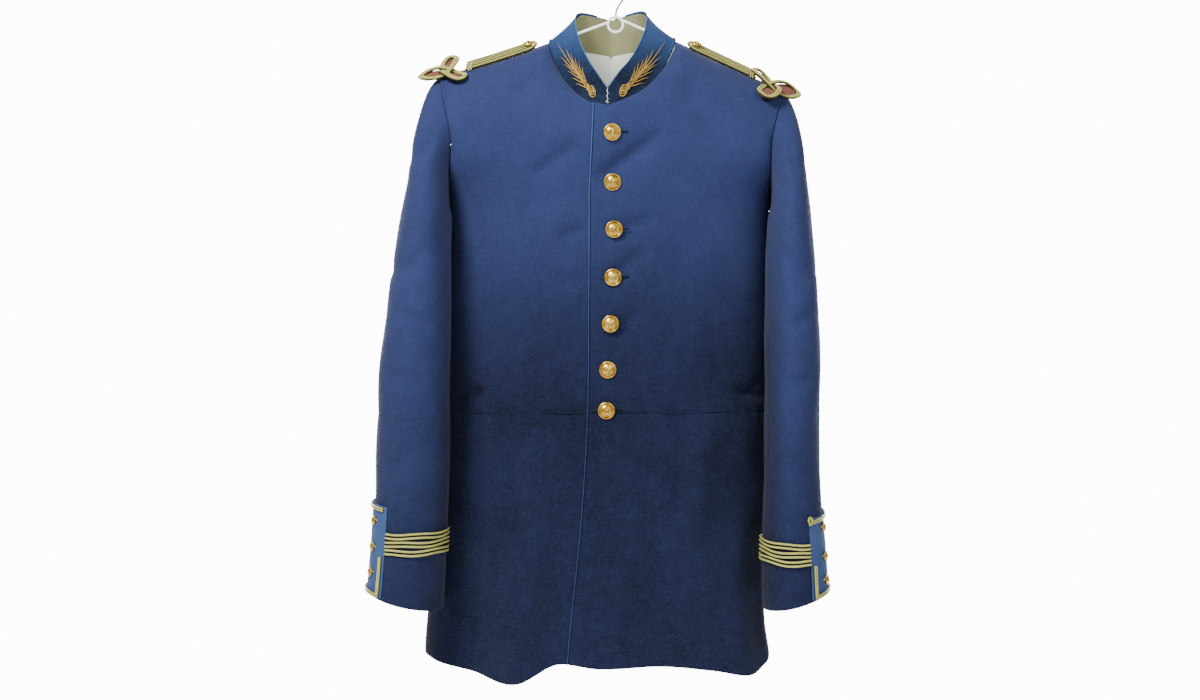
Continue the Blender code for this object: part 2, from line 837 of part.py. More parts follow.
def shoulder_point(side, along, forward):
    """A point by its share along the seam and its distance before it."""
    share = mix(NECK_SHARE, 1.0, along)
    back = forward < 0
    low = yoke_point(side, back, share, 0.9)
    high = yoke_point(side, back, share, 1.0)
    rise = 1 - 0.1 * abs(forward) / max(np.linalg.norm(high - low), 1.0)
    return yoke_point(side, back, share, rise)


def make_shoulders(gold, gilt):
    """Braided straps along the shoulder seams, with knots and buttons."""
    ridges = (0.5, 1.0, 0.55, 1.0, 0.55, 1.0, 0.55, 1.0, 0.5)
    for side in (RIGHT, LEFT):
        word = SIDE_NAMES[side]
        below = np.array((side * 120.0, 4.0, -400.0))

        def on_seam(along, across, side=side):
            return shoulder_point(side, along, STRAP_AHEAD + (across - 0.5) * STRAP_WIDTH)

        def on_strap(along, across, on_seam=on_seam, below=below):
            lift = STRAP_LIFT + STRAP_HEIGHT * ridges[round(across * 8)]
            return raised(on_seam, along, across, lift, below)

        panel(
            f"shoulder_strap_{word}",
            on_strap,
            shares(0.12, 0.74, 9),
            shares(0.0, 1.0, 9),
            STRAP_WALL,
            gold,
            tuple(below),
        )
        seat = raised(on_seam, 0.165, 0.5, STRAP_LIFT + STRAP_HEIGHT + 1.3, below)
        domed_button(
            f"shoulder_button_{word}",
            SHOULDER_BUTTON_DIAMETER,
            gilt,
            seat,
            SHOULDER_BUTTON_AIM[side],
        )
        make_knot(side, gold)


def knot_points(side):
    """A trefoil that passes over and under itself."""
    centre, out, back = (Vector(part) for part in KNOTS[side])
    out = out.normalized()
    back = (back - out * back.dot(out)).normalized()
    up = out.cross(back).normalized()
    if up.z < 0:
        up = -up
    points = []
    for i in range(KNOT_STEPS):
        t = 2 * math.pi * i / KNOT_STEPS
        along = (KNOT_LONG * math.cos(2 * t) - KNOT_WIDE * math.cos(t)) * KNOT_REACH[side]
        across = (KNOT_LONG * math.sin(2 * t) + KNOT_WIDE * math.sin(t)) * KNOT_REACH[side]
        lift = -(math.sin(3 * t) + 0.5 * math.sin(6 * t)) * KNOT_LIFT
        points.append(np.array(centre + out * along + back * across + up * lift))
    return points


def make_knot(side, gold):
    """A trefoil of thick cord that passes over and under itself."""
    points = knot_points(side)
    tube(f"shoulder_knot_{SIDE_NAMES[side]}", points, KNOT_DIAMETER, gold, closed=True)


def make_emblems(gold):
    """A raised flaming grenade on each end of the collar."""
    inside = np.array((-4.0, -8.0, -100.0))
    for side in (RIGHT, LEFT):

        def at(a, b, side=side):
            return collar_point(side, a, b)

        def on_collar(share, across, side=side):
            half = float(np.interp(share, [r[0] for r in GRENADE], [r[1] for r in GRENADE]))
            place = mix(GRENADE_START[0], GRENADE_END[0], share)
            rise = mix(GRENADE_START[1], GRENADE_END[1], share)
            rise += GRENADE_BOW * math.sin(math.pi * share)
            width = np.linalg.norm(collar_point(side, place, 1.0) - collar_point(side, place, 0.0))
            rise += (across - 0.5) * 2 * half / width
            crown = 1.0 - (2 * across - 1) ** 2
            return raised(at, place, rise, SEAM_GAP + 1.2 + 0.8 * crown, inside)

        panel(
            f"collar_emblem_{SIDE_NAMES[side]}",
            on_collar,
            [row[0] for row in GRENADE],
            (0.0, 0.25, 0.5, 0.75, 1.0),
            EMBLEM_WALL,
            gold,
            tuple(inside),
        )


def make_collar_hook(steel):
    """The hook and eye that close the collar."""
    low = sided_point(NECKLINE, LEFT, 0.0)
    points = [low + np.array(step) for step in COLLAR_HOOK_STEPS]
    tube("collar_hook", smooth_path(points, 3), COLLAR_HOOK_DIAMETER, steel)


def hanger_route():
    """One closed wire: a coiled eye, an arm under each shoulder and a bar."""
    eye = []
    for i in range(EYE_STEPS + 1):
        share = i / EYE_STEPS
        angle = math.radians(mix(EYE_TURN[0], EYE_TURN[1], share))
        eye.append(
            (
                EYE_CENTRE[0] + EYE_DIAMETER / 2 * math.sin(angle),
                EYE_CENTRE[1] + mix(-EYE_PITCH, EYE_PITCH, share) / 2,
                EYE_CENTRE[2] + EYE_DIAMETER / 2 * math.cos(angle),
            )
        )
    below = np.array((0.0, 0.0, -(WOOL + WIRE_DIAMETER / 2 + ARM_CLEARANCE)))
    arms = {}
    for side, inner in ((RIGHT, RIGHT_ARM_START), (LEFT, LEFT_ARM_START)):
        under = [sided_point(SHOULDER, side, along) + below for along in (0.08, 0.36, 0.62, 0.84)]
        bend = [under[-1] + np.array((side * 8.0, 0.0, drop)) for drop in (-9.0, -22.0)]
        bar = [(side * 150.0, 5.0, BAR_HEIGHT), (side * 50.0, 5.0, BAR_HEIGHT - 2)]
        arms[side] = list(inner) + under + bend + bar
    around = arms[LEFT] + arms[RIGHT][::-1]
    return eye + [tuple(point) for point in smooth_path(around, 2)]


def make_hanger(coated, steel):
    """A coated wire frame, and the steel hook that its eye hangs on."""
    tube("hanger_frame", hanger_route(), WIRE_DIAMETER, coated, closed=True)
    eye_x, eye_y, eye_z = EYE_CENTRE
    under = eye_z + (EYE_DIAMETER - WIRE_DIAMETER - HOOK_DIAMETER) / 2 - SEAM_GAP
    behind = (EYE_PITCH + WIRE_DIAMETER + HOOK_DIAMETER) / 2 + SEAM_GAP
    stem = (
        (eye_x, eye_y - behind - 2.6, under - 1.2),
        (eye_x, eye_y - behind + 1.0, under - 0.3),
        (eye_x, eye_y, under - 0.2),
        (eye_x, eye_y + behind - 0.6, under + 0.6),
        (eye_x + 0.3, eye_y + behind + 1.6, under + 5.0),
        (eye_x + 1.2, eye_y + behind, under + 12.0),
        (6.5, 1.4, -33.0),
    )
    arc = []
    for i in range(HOOK_STEPS + 1):
        angle = math.radians(mix(HOOK_TURN[0], HOOK_TURN[1], i / HOOK_STEPS))
        arc.append(
            (
                HOOK_RADIUS * math.sin(angle),
                0.0,
                HOOK_DIAMETER / 2 - HOOK_RADIUS + HOOK_RADIUS * math.cos(angle),
            )
        )
    tube("hanger_hook", smooth_path(stem, 3) + arc, HOOK_DIAMETER, steel)


def main():
    wool = new_material("blue_wool", (0.035, 0.05, 0.15), 0.9)
    velvet = new_material("collar_velvet", (0.08, 0.17, 0.36), 0.85)
    cuff_velvet = new_material("cuff_velvet", (0.10, 0.16, 0.30), 0.85)
    lining = new_material("collar_lining", (0.36, 0.35, 0.21), 0.9)
    back_lining = new_material("back_lining", (0.58, 0.64, 0.56), 0.8)
    piped = new_material("front_piping", (0.10, 0.18, 0.40), 0.8)
    gold = new_material("gold_braid", (0.45, 0.36, 0.14), 0.45, 0.4)
    gilt = new_material("gilt_brass", (0.72, 0.50, 0.16), 0.25, 1.0)
    coated = new_material("white_coating", (0.85, 0.85, 0.83), 0.35)
    steel = new_material("bright_steel", (0.55, 0.55, 0.56), 0.3, 1.0)
    make_bodice(wool)
    make_skirt(wool)
    make_sleeves(wool)
    make_collar(velvet, lining, back_lining)
    make_piping(piped)
    make_front_buttons(gilt)
    make_cuffs(cuff_velvet, gold, gilt)
    make_shoulders(gold, gilt)
    make_emblems(gold)
    make_collar_hook(steel)
    make_hanger(coated, steel)


main()
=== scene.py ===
"""Looks of a military dress tunic that hangs on a coated wire hanger.

Every piece stands on the same surfaces as its solid in the frame. Sizes in the
tables are millimetres and the finished meshes are metres. The wearer's left is
+X, the front faces -Y, and the origin is the top of the hanger's hook.
"""

from __future__ import annotations

import logging
import math
from collections.abc import Callable, Sequence
from dataclasses import dataclass, field
from enum import Enum, IntEnum
from functools import partial

import bmesh
import bpy
import numpy as np
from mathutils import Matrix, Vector


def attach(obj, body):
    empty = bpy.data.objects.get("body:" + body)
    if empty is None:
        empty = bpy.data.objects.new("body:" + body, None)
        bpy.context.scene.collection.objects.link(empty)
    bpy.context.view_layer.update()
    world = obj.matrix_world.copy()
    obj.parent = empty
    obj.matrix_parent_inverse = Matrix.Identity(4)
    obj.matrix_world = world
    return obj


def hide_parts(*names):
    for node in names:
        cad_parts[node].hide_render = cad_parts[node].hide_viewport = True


LOG = logging.getLogger("tunic")
MM = 0.001
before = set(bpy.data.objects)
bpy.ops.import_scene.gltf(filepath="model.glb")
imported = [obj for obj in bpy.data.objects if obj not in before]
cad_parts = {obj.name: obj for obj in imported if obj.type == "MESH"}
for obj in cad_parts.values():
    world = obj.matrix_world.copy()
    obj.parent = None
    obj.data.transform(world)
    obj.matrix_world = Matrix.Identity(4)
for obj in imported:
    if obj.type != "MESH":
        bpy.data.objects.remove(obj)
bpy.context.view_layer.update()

Array = np.ndarray
Surface = Callable[[Array, Array], Array]
Point = tuple[float, float, float]
Colour = tuple[float, float, float, float]


class Side(IntEnum):
    """The wearer's side, by the sign of its X."""

    RIGHT = -1
    LEFT = 1

    @property
    def word(self) -> str:
        """The side's name in piece names."""
        return "left" if self is Side.LEFT else "right"


UNDERARM_HEIGHT = -262.0
WAIST_HEIGHT = -519.0
HEM_MIDDLE = -825.0
NECK_SIDE = 0.66
NECK_SHARE = 0.42
CROWN_END = -300.0
CUFF_HEM_MIDDLE = -735.0
CUFF_HEM_RISE = 10.0
CUFF_FRONT_DROP = 5.0
EDGE_AT_NECK = -0.060
UNDERLAP = 0.085
OVERLAP_RISE = 2.8
OVERLAP_FADE = 0.30

# height, centre x, half width, depth in front, depth behind
TORSO_RINGS = (
    (-262, -4, 191, 84, 70),
    (-340, -4.5, 194, 86, 70),
    (-440, -6, 194, 76, 62),
    (-519, -7, 193, 67, 58),
    (-620, -12, 195, 70, 64),
    (-735, -20, 200, 76, 70),
    (-835, -18, 209, 80, 74),
)
# place round the body (0 front, 1 side, 2 back), height of the hem
HEM = (
    (-2.0, -812),
    (-1.5, -813),
    (-1.0, -806),
    (-0.76, -811),
    (-0.51, -822),
    (-0.29, -834),
    (-0.145, -813),
    (0.0, -817),
    (0.22, -815),
    (0.43, -820),
    (0.63, -828),
    (0.86, -817),
    (1.0, -808),
    (1.5, -813),
    (2.0, -812),
)
# place round the body, width, how far the fold stands out at the hem
SKIRT_FOLDS = (
    (-0.30, 0.09, 11),
    (-0.15, 0.07, -6),
    (-0.50, 0.08, -5),
    (-0.70, 0.09, 6),
    (0.24, 0.10, -4),
    (0.42, 0.09, 5),
    (0.62, 0.08, 9),
    (0.80, 0.07, -4),
    (-1.28, 0.10, 7),
    (-1.50, 0.10, -6),
    (-1.72, 0.10, 8),
    (1.28, 0.10, 7),
    (1.50, 0.10, -6),
    (1.72, 0.10, 8),
)
# share from front to back, x right, x left, y, z right, z left
NECKLINE = (
    (0.00, -7, -7, -86, -162, -162),
    (0.12, -25, 12, -80, -157, -155),
    (0.28, -43, 34, -67, -145, -142),
    (0.44, -61, 54, -46, -122, -120),
    (0.56, -72, 67, -24, -98, -96),
    (0.66, -77, 75, -2, -77, -75),
    (0.84, -58, 56, 38, -77, -76),
    (1.00, -2, -2, 58, -86, -86),
)
COLLAR_TOP = (
    (0.00, -7.6, -6.4, -75, -140, -140),
    (0.12, -20, 6, -69, -121, -122),
    (0.28, -30, 18, -57, -104, -107),
    (0.44, -38, 28, -42, -85, -90),
    (0.56, -43, 36, -25, -68, -71),
    (0.66, -45, 40, -6, -54, -55),
    (0.84, -38, 35, 28, -37, -35),
    (1.00, -2, -2, 50, -42, -42),
)
# share from neck to shoulder end, x right, x left, y, z right, z left
SHOULDER = (
    (0.00, -77, 75, -2, -77, -75),
    (0.40, -127, 124, 4, -93, -97),
    (0.75, -172, 166, 7, -106, -116),
    (1.00, -203, 197, 8, -113, -130),
)
# turn from the shoulder end down the front, x right, x left, y, z right, z left
ARMHOLE = (
    (0.00, -203, 197, 8, -113, -130),
    (0.08, -206, 200, -20, -124, -140),
    (0.18, -200, 195, -43, -153, -162),
    (0.30, -191, 186, -55, -198, -199),
    (0.41, -193, 185, -46, -241, -240),
    (0.50, -195, 187, 0, -262, -262),
    (0.59, -195, 188, 40, -241, -240),
    (0.70, -194, 188, 52, -198, -199),
    (0.86, -201, 195, 38, -140, -152),
    (1.00, -203, 197, 8, -113, -130),
)
# height, outer x right, inner x right, outer x left, inner x left, y, half depth
SLEEVE_RINGS = (
    (-300, -249, -190, 231, 181, -53, 59),
    (-400, -263, -190, 239, 178, -58, 58),
    (-520, -276, -191, 241, 177, -62, 56),
    (-620, -278, -193, 242, 175, -66, 54),
    (-700, -283, -196, 247, 173, -72, 51),
    (-742, -287, -198, 249, 174, -74, 50),
)
# height, x of the front edge, which lies over the other front
FRONT_EDGE = (
    (-262, -26.5),
    (-385, -27),
    (-519, -28.5),
    (-634, -35),
    (-703, -41),
    (-773, -47.5),
    (-835, -52.5),
)


def hermite(start: Array, leave: Array, end: Array, arrive: Array, t: Array) -> Array:
    """A curve that leaves start along one tangent and meets end along another.

    Args:
        start: where it starts.
        leave: its tangent there.
        end: where it ends.
        arrive: its tangent there.
        t: shares along it.

    Returns:
        Points in millimetres.
    """
    t = t[..., None]
    return (
        (2 * t**3 - 3 * t**2 + 1) * start
        + (t**3 - 2 * t**2 + t) * leave
        + (3 * t**2 - 2 * t**3) * end
        + (t**3 - t**2) * arrive
    )


def table_at(rows: Sequence[Sequence[float]], at: Array | float) -> Array:
    """The other columns of a table where its first is at.

    Args:
        rows: a table, in rising or falling order of its first column.
        at: where to read it, a number or an array of them.

    Returns:
        An array with one more axis than at, on a smooth curve through the rows.
    """
    keys = np.array([row[0] for row in rows], float)
    values = np.array([row[1:] for row in rows], float)
    if keys[0] > keys[-1]:
        keys, values = keys[::-1], values[::-1]
    slopes = np.gradient(values, keys, axis=0)
    spots = np.clip(np.asarray(at, float), keys[0], keys[-1])
    low = np.clip(np.searchsorted(keys, spots) - 1, 0, len(keys) - 2)
    span = (keys[low + 1] - keys[low])[..., None]
    t = (spots - keys[low]) / span[..., 0]
    return hermite(values[low], span * slopes[low], values[low + 1], span * slopes[low + 1], t)


def sided_point(rows: Sequence[Sequence[float]], side: Side, at: Array | float) -> Array:
    """Points of a table that has x and z columns for both sides.

    Args:
        rows: a table whose columns after the key are x right, x left, y, z right, z left.
        side: the wearer's side.
        at: where to read it.

    Returns:
        Points in millimetres.
    """
    read = table_at(rows, at)
    x = read[..., 0] if side is Side.RIGHT else read[..., 1]
    z = read[..., 3] if side is Side.RIGHT else read[..., 4]
    return np.stack((x, read[..., 2], z), axis=-1)


def smooth_step(low: float, high: float, value: Array | float) -> Array:
    """A soft step from 0 at low to 1 at high."""
    t = np.clip((np.asarray(value, float) - low) / (high - low), 0.0, 1.0)
    return t * t * (3 - 2 * t)


def mix(a: Array | float, b: Array | float, t: Array | float) -> Array | float:
    """The value that lies the share t of the way from a to b."""
    return a + (b - a) * t


def unit(vectors: Array) -> Array:
    """Vectors of length 1 in the same directions."""
    return vectors / np.maximum(np.linalg.norm(vectors, axis=-1, keepdims=True), 1e-9)


def stacked(x: Array, y: Array, z: Array) -> Array:
    """Three arrays, spread to one shape, as points."""
    return np.stack(np.broadcast_arrays(x, y, z), axis=-1)


def torso_point(place: Array, height: Array) -> Array:
    """The outer face below the arms.

    Args:
        place: 0 in front, 1 or -1 at a side and 2 or -2 behind.
        height: the height in millimetres.

    Returns:
        Points of the garment's outer face.
    """
    rings = table_at(TORSO_RINGS, height)
    angle = place * math.pi / 2
    cosine = np.cos(angle)
    swell = sum(
        stand * np.exp(-(((place - at) / width) ** 2)) for at, width, stand in SKIRT_FOLDS
    ) * smooth_step(WAIST_HEIGHT, -800.0, height)
    depth = np.where(cosine > 0, rings[..., 2], rings[..., 3]) + swell
    y = -np.sign(cosine) * depth * np.abs(cosine) ** 0.75
    reach = rings[..., 1] + swell * np.abs(np.sin(angle)) * 0.4
    return stacked(rings[..., 0] + reach * np.sin(angle), y, height)


def yoke_top(side: Side, back: bool, share: Array) -> Array:
    """The neckline and then the shoulder seam, from the centre outwards.

    Args:
        side: the wearer's side.
        back: whether it is the back's edge.
        share: 0 at the centre, NECK_SHARE at the neck's side, 1 at the shoulder end.

    Returns:
        Points in millimetres.
    """
    along = np.clip(share / NECK_SHARE, 0.0, 1.0)
    turn = 1 - along * (1 - NECK_SIDE) if back else along * NECK_SIDE
    neck = sided_point(NECKLINE, side, turn)
    seam = sided_point(SHOULDER, side, (share - NECK_SHARE) / (1 - NECK_SHARE))
    return np.where((share <= NECK_SHARE)[..., None], neck, seam)


def yoke_column(side: Side, back: bool, share: Array, rise: Array) -> Array:
    """A rib from the underarm line to the neck or the shoulder seam.

    Args:
        side: the wearer's side.
        back: whether it is on the back.
        share: which rib, from the centre at 0 to the armhole at 1.
        rise: 0 at the underarm line, 1 on top.

    Returns:
        Points in millimetres.
    """
    place = side * (2 - share if back else share)
    low = torso_point(place, np.full_like(share, UNDERARM_HEIGHT))
    high = yoke_top(side, back, share)
    length = np.linalg.norm(high - low, axis=-1)
    start_lean, end_lean = (0.12, 1.46) if back else (0.60, 1.46)
    lean = mix(start_lean, end_lean, smooth_step(0.0, NECK_SHARE, share))
    over = -1.0 if back else 1.0
    nothing = np.zeros_like(share)
    leave = stacked(nothing, nothing, length)
    arrive = stacked(nothing, over * np.sin(lean), np.cos(lean)) * length[..., None] * 0.95
    return hermite(low, leave, high, arrive, rise)


def yoke_point(side: Side, back: bool, share: Array, rise: Array) -> Array:
    """The outer face above the underarm line, drawn out to meet the armhole.

    Args:
        side: the wearer's side.
        back: whether it is on the back.
        share: 0 at the centre, 1 at the armhole.
        rise: 0 at the underarm line, 1 on top.

    Returns:
        Points in millimetres.
    """
    turn = 0.5 + 0.5 * rise if back else 0.5 - 0.5 * rise
    armhole = sided_point(ARMHOLE, side, turn)
    reach = armhole - yoke_column(side, back, np.ones_like(share), rise)
    weight = np.maximum(share, 0.0) ** 2.2
    return yoke_column(side, back, share, rise) + reach * weight[..., None]


def bodice_point(side: Side, back: bool, share: Array, rise: Array) -> Array:
    """The bodice; rise is -1 at the waist seam, 0 at the underarm, 1 on top.

    Args:
        side: the wearer's side.
        back: whether it is on the back.
        share: 0 at the centre, 1 at the side seam or armhole.
        rise: -1 at the waist seam, 0 at the underarm line, 1 on top.

    Returns:
        Points in millimetres.
    """
    height = mix(UNDERARM_HEIGHT, WAIST_HEIGHT, np.maximum(-rise, 0.0))
    low = torso_point(side * (2 - share if back else share), height)
    high = yoke_point(side, back, share, np.maximum(rise, 0.0))
    return np.where((rise >= 0)[..., None], high, low)


def front_point(place: Array, rise: Array) -> Array:
    """The fronts by signed place, right of the wearer below 0.

    Args:
        place: the share from the centre, below 0 on the wearer's right.
        rise: -1 at the waist seam, 1 on top.

    Returns:
        Points in millimetres.
    """
    left = bodice_point(Side.LEFT, False, np.abs(place), rise)
    right = bodice_point(Side.RIGHT, False, np.abs(place), rise)
    return np.where((place >= 0)[..., None], left, right)


def back_point(place: Array, rise: Array) -> Array:
    """The backs by signed share from the centre, right of the wearer below 0.

    Args:
        place: the share from the centre, below 0 on the wearer's right.
        rise: -1 at the waist seam, 1 on top.

    Returns:
        Points in millimetres.
    """
    left = bodice_point(Side.LEFT, True, np.abs(place), rise)
    right = bodice_point(Side.RIGHT, True, np.abs(place), rise)
    return np.where((place >= 0)[..., None], left, right)


def skirt_point(place: Array, fall: Array) -> Array:
    """The skirt, from the waist seam at 0 to the hem at 1."""
    hem = table_at(HEM, place)[..., 0]
    return torso_point(place, mix(WAIST_HEIGHT - 0.3, hem, fall))


def place_of(x: Array | float, height: Array | float) -> Array:
    """The place in front, below the arms, that lies at an x and a height."""
    rings = table_at(TORSO_RINGS, height)
    return np.arcsin((x - rings[..., 0]) / rings[..., 1]) * 2 / math.pi


def edge_place_at(height: Array | float) -> Array:
    """The place of the front edge at a height below the arms."""
    return place_of(table_at(FRONT_EDGE, height)[..., 0], height)


def edge_place(rise: Array) -> Array:
    """The place of the front edge on the bodice.

    Args:
        rise: -1 at the waist seam, 1 on top.

    Returns:
        Places round the body.
    """
    low = edge_place_at(mix(UNDERARM_HEIGHT, WAIST_HEIGHT, np.maximum(-rise, 0.0)))
    high = mix(edge_place_at(UNDERARM_HEIGHT), EDGE_AT_NECK, rise)
    return np.where(rise >= 0, high, low)


def overlap_stand(place: Array) -> Array:
    """How far the upper front stands off, over the lower front and beyond."""
    return OVERLAP_RISE * (1 - smooth_step(UNDERLAP - 0.05, OVERLAP_FADE, place))


def sleeve_ring(side: Side, turn: Array, height: Array) -> Array:
    """A sleeve's section; turn is 0 outside, 0.25 in front, 0.5 at the body.

    Args:
        side: the wearer's side.
        turn: 0 outside, 0.25 in front, 0.5 at the body.
        height: heights in millimetres.

    Returns:
        Points in millimetres.
    """
    rings = table_at(SLEEVE_RINGS, height)
    pair = (0, 1) if side is Side.RIGHT else (2, 3)
    outer, inner = rings[..., pair[0]], rings[..., pair[1]]
    angle = 2 * math.pi * turn
    x = (outer + inner) / 2 + (outer - inner) / 2 * np.cos(angle)
    return stacked(x, rings[..., 4] - rings[..., 5] * np.sin(angle), height)


def cuff_hem(turn: Array) -> Array:
    """The height of a sleeve's hem round its turn."""
    angle = 2 * math.pi * np.asarray(turn, float)
    return CUFF_HEM_MIDDLE + CUFF_HEM_RISE * np.cos(angle) - CUFF_FRONT_DROP * np.sin(angle)


def sleeve_point(side: Side, turn: Array, fall: Array) -> Array:
    """A sleeve; fall is 0 at the armhole, 1 where the crown ends, 2 at the hem.

    Args:
        side: the wearer's side.
        turn: 0 outside, 0.25 in front, 0.5 at the body.
        fall: 0 at the armhole, 1 where the crown ends, 2 at the hem.

    Returns:
        Points in millimetres.
    """
    lower = sleeve_ring(side, turn, mix(CROWN_END, cuff_hem(turn), np.maximum(fall - 1, 0.0)))
    start = sided_point(ARMHOLE, side, turn % 1.0)
    crown_end = np.full_like(turn, CROWN_END)
    end = sleeve_ring(side, turn, crown_end)
    below = sleeve_ring(side, turn, crown_end - 10)
    length = np.linalg.norm(end - start, axis=-1)[..., None]
    angle = 2 * math.pi * turn
    top = np.maximum(np.cos(angle), 0.0)
    under = np.maximum(-np.cos(angle), 0.0)
    leave = stacked(
        side * (0.25 + 0.75 * top - 0.05 * under),
        -0.30 * np.sin(angle) * (1 - under),
        -0.35 * top - 0.95 * under - 0.25,
    )
    leave = leave / np.linalg.norm(leave, axis=-1, keepdims=True)
    leave = leave * length * (0.55 + 0.25 * under)[..., None]
    arrive = (below - end) / 10 * length * (1.0 + 0.25 * top)[..., None]
    upper = hermite(start, leave, end, arrive, np.minimum(fall, 1.0))
    return np.where((fall >= 1)[..., None], lower, upper)


def collar_point(side: Side, share: Array, rise: Array) -> Array:
    """The stand collar, from the neck seam at 0 to the top edge at 1.

    Args:
        side: the wearer's side.
        share: 0 at the front, 1 at the middle of the back.
        rise: 0 at the neck seam, 1 at the top edge.

    Returns:
        Points in millimetres.
    """
    low = sided_point(NECKLINE, side, share)
    high = sided_point(COLLAR_TOP, side, share)
    return mix(low, high, rise[..., None])


def normals_of(points: Array, inside: Array) -> Array:
    """Unit normals of a grid of points, on the side away from its inside.

    Args:
        points: a grid of points, in millimetres.
        inside: a point, or one for each, that the outer face looks away from.

    Returns:
        A grid of unit vectors.
    """
    normals = unit(np.cross(np.gradient(points, axis=0), np.gradient(points, axis=1)))
    facing = np.sum(normals * (points - inside), axis=-1)
    return normals * (1.0 if facing.sum() >= 0 else -1.0)


def lifted(surface: Surface, a: Array, b: Array, lift: Array | float, inside: Array) -> Array:
    """Points of a surface moved off it along its own normal.

    Args:
        surface: the surface, by two numbers.
        a: its first number.
        b: its second number.
        lift: how far to move off it, in millimetres.
        inside: a point that the surface looks away from, or one for each.

    Returns:
        The moved points.
    """
    step = 0.003
    across = surface(a + step, b) - surface(a - step, b)
    along = surface(a, b + step) - surface(a, b - step)
    normals = unit(np.cross(across, along))
    here = surface(a, b)
    turned = np.sign(np.sum(normals * (here - inside), axis=-1, keepdims=True))
    return here + normals * turned * np.asarray(lift, float)[..., None]


def laid(
    surface: Surface, a: Array, b: Array, lift: float, inside: Array
) -> tuple[Array, Array]:
    """Points raised from a surface, and the way away from it at each.

    Args:
        surface: the surface, by two numbers.
        a: its first number.
        b: its second number.
        lift: how far the points stand off it, in millimetres.
        inside: a point that the surface looks away from, or one for each.

    Returns:
        The points and the unit vectors.
    """
    low, high = (
        lifted(surface, a, b, np.full(np.shape(a), lift + more), inside) for more in (0.0, 1.0)
    )
    return low, unit(high - low)


def spread(start: float, end: float, count: int, crowd: float = 0.0) -> Array:
    """Even steps from start to end, or closer at both ends where crowd is above 0."""
    t = np.linspace(0.0, 1.0, count)
    return mix(start, end, t - crowd * np.sin(2 * math.pi * t) / (2 * math.pi))


def grid_of(surface: Surface, columns: Array, rows: Array) -> Array:
    """The surface's points for every column and row."""
    return surface(*np.meshgrid(columns, rows, indexing="ij"))


def arc_lengths(points: Array, axis: int) -> Array:
    """How far each point of a grid lies along its line, from the line's start."""
    steps = np.linalg.norm(np.diff(points, axis=axis), axis=-1)
    start = np.zeros_like(np.take(steps, [0], axis=axis))
    return np.cumsum(np.concatenate((start, steps), axis=axis), axis=axis)


def edge_valley(points: Array, depth: float, width: float) -> Array:
    """The dip of a grid along its sewn and turned edges, in millimetres.

    Args:
        points: a grid of points.
        depth: how deep the dip is at the edge.
        width: how far in it reaches.

    Returns:
        A lift for each point, below 0.
    """
    across, along = arc_lengths(points, 0), arc_lengths(points, 1)
    sides = (across, across[-1:] - across, along, along[:, -1:] - along)
    return -depth * np.exp(-((np.minimum.reduce(sides) / width) ** 2))


@dataclass(frozen=True)
class Crease:
    """A soft trough in cloth along a line of X and Z; a ridge if depth is below 0."""

    line: tuple[tuple[float, float], ...]
    depth: float
    width: float

    def dip(self, points: Array) -> Array:
        """How far the crease moves each point off the cloth's own form.

        Args:
            points: a grid of points.

        Returns:
            A lift for each point, below 0 in a trough.
        """
        nearest = np.full(points.shape[:-1], 1e9)
        share = np.zeros(points.shape[:-1])
        spot = points[..., (0, 2)]
        stretches = len(self.line) - 1
        for number in range(stretches):
            start, end = (np.array(self.line[number + step], float) for step in (0, 1))
            way = end - start
            t = np.clip(((spot - start) @ way) / (way @ way), 0.0, 1.0)
            distance = np.linalg.norm(spot - start - t[..., None] * way, axis=-1)
            closer = distance < nearest
            nearest = np.where(closer, distance, nearest)
            share = np.where(closer, (number + t) / stretches, share)
        fade = 1 - np.abs(2 * share - 1) ** 3
        return -self.depth * fade * np.exp(-((nearest / self.width) ** 2))


def soft_waves(points: Array, height: float, seed: int) -> Array:
    """Gentle unevenness of hung cloth, the same wherever two pieces meet.

    Args:
        points: a grid of points.
        height: about how high the waves stand.
        seed: the seed of their directions.

    Returns:
        A lift for each point, in millimetres.
    """
    chance = np.random.default_rng(seed)
    total = np.zeros(points.shape[:-1])
    for _ in range(9):
        way = chance.normal(size=3) * (1.0, 1.0, 0.7)
        way *= 2 * math.pi / (np.linalg.norm(way) * chance.uniform(45.0, 130.0))
        total += np.sin(points @ way + chance.uniform(0.0, 2 * math.pi))
    return total * height / 3


def moved(points: Array, lift: Array, inside: Array) -> Array:
    """A grid of points moved along its own normals."""
    return points + normals_of(points, inside) * lift[..., None]


class Finish(Enum):
    """Materials by their name in the record and in Blender."""

    WOOL = "blue_wool"
    COLLAR = "collar_velvet"
    CUFF = "cuff_velvet"
    COLLAR_LINING = "collar_lining"
    BACK_LINING = "back_lining"
    PIPING = "front_piping"
    BRAID = "gold_braid"
    EMBROIDERY = "gold_embroidery"
    GILT = "gilt_brass"
    COATING = "white_coating"
    STEEL = "bright_steel"
    THREAD = "dark_thread"
    FELT = "knot_backing"

    @property
    def slot(self) -> str:
        """The finish's slot in the record."""
        shared = {"EMBROIDERY": "gold_braid", "FELT": "gold_braid", "THREAD": "blue_wool"}
        return shared.get(self.name, self.value)


MATERIALS: dict[Finish, bpy.types.Material] = {}


def shown(name: str, data: bpy.types.ID) -> bpy.types.Object:
    """A new object at the origin, in the scene's collection."""
    obj = bpy.data.objects.new(name, data)
    bpy.context.scene.collection.objects.link(obj)
    return obj


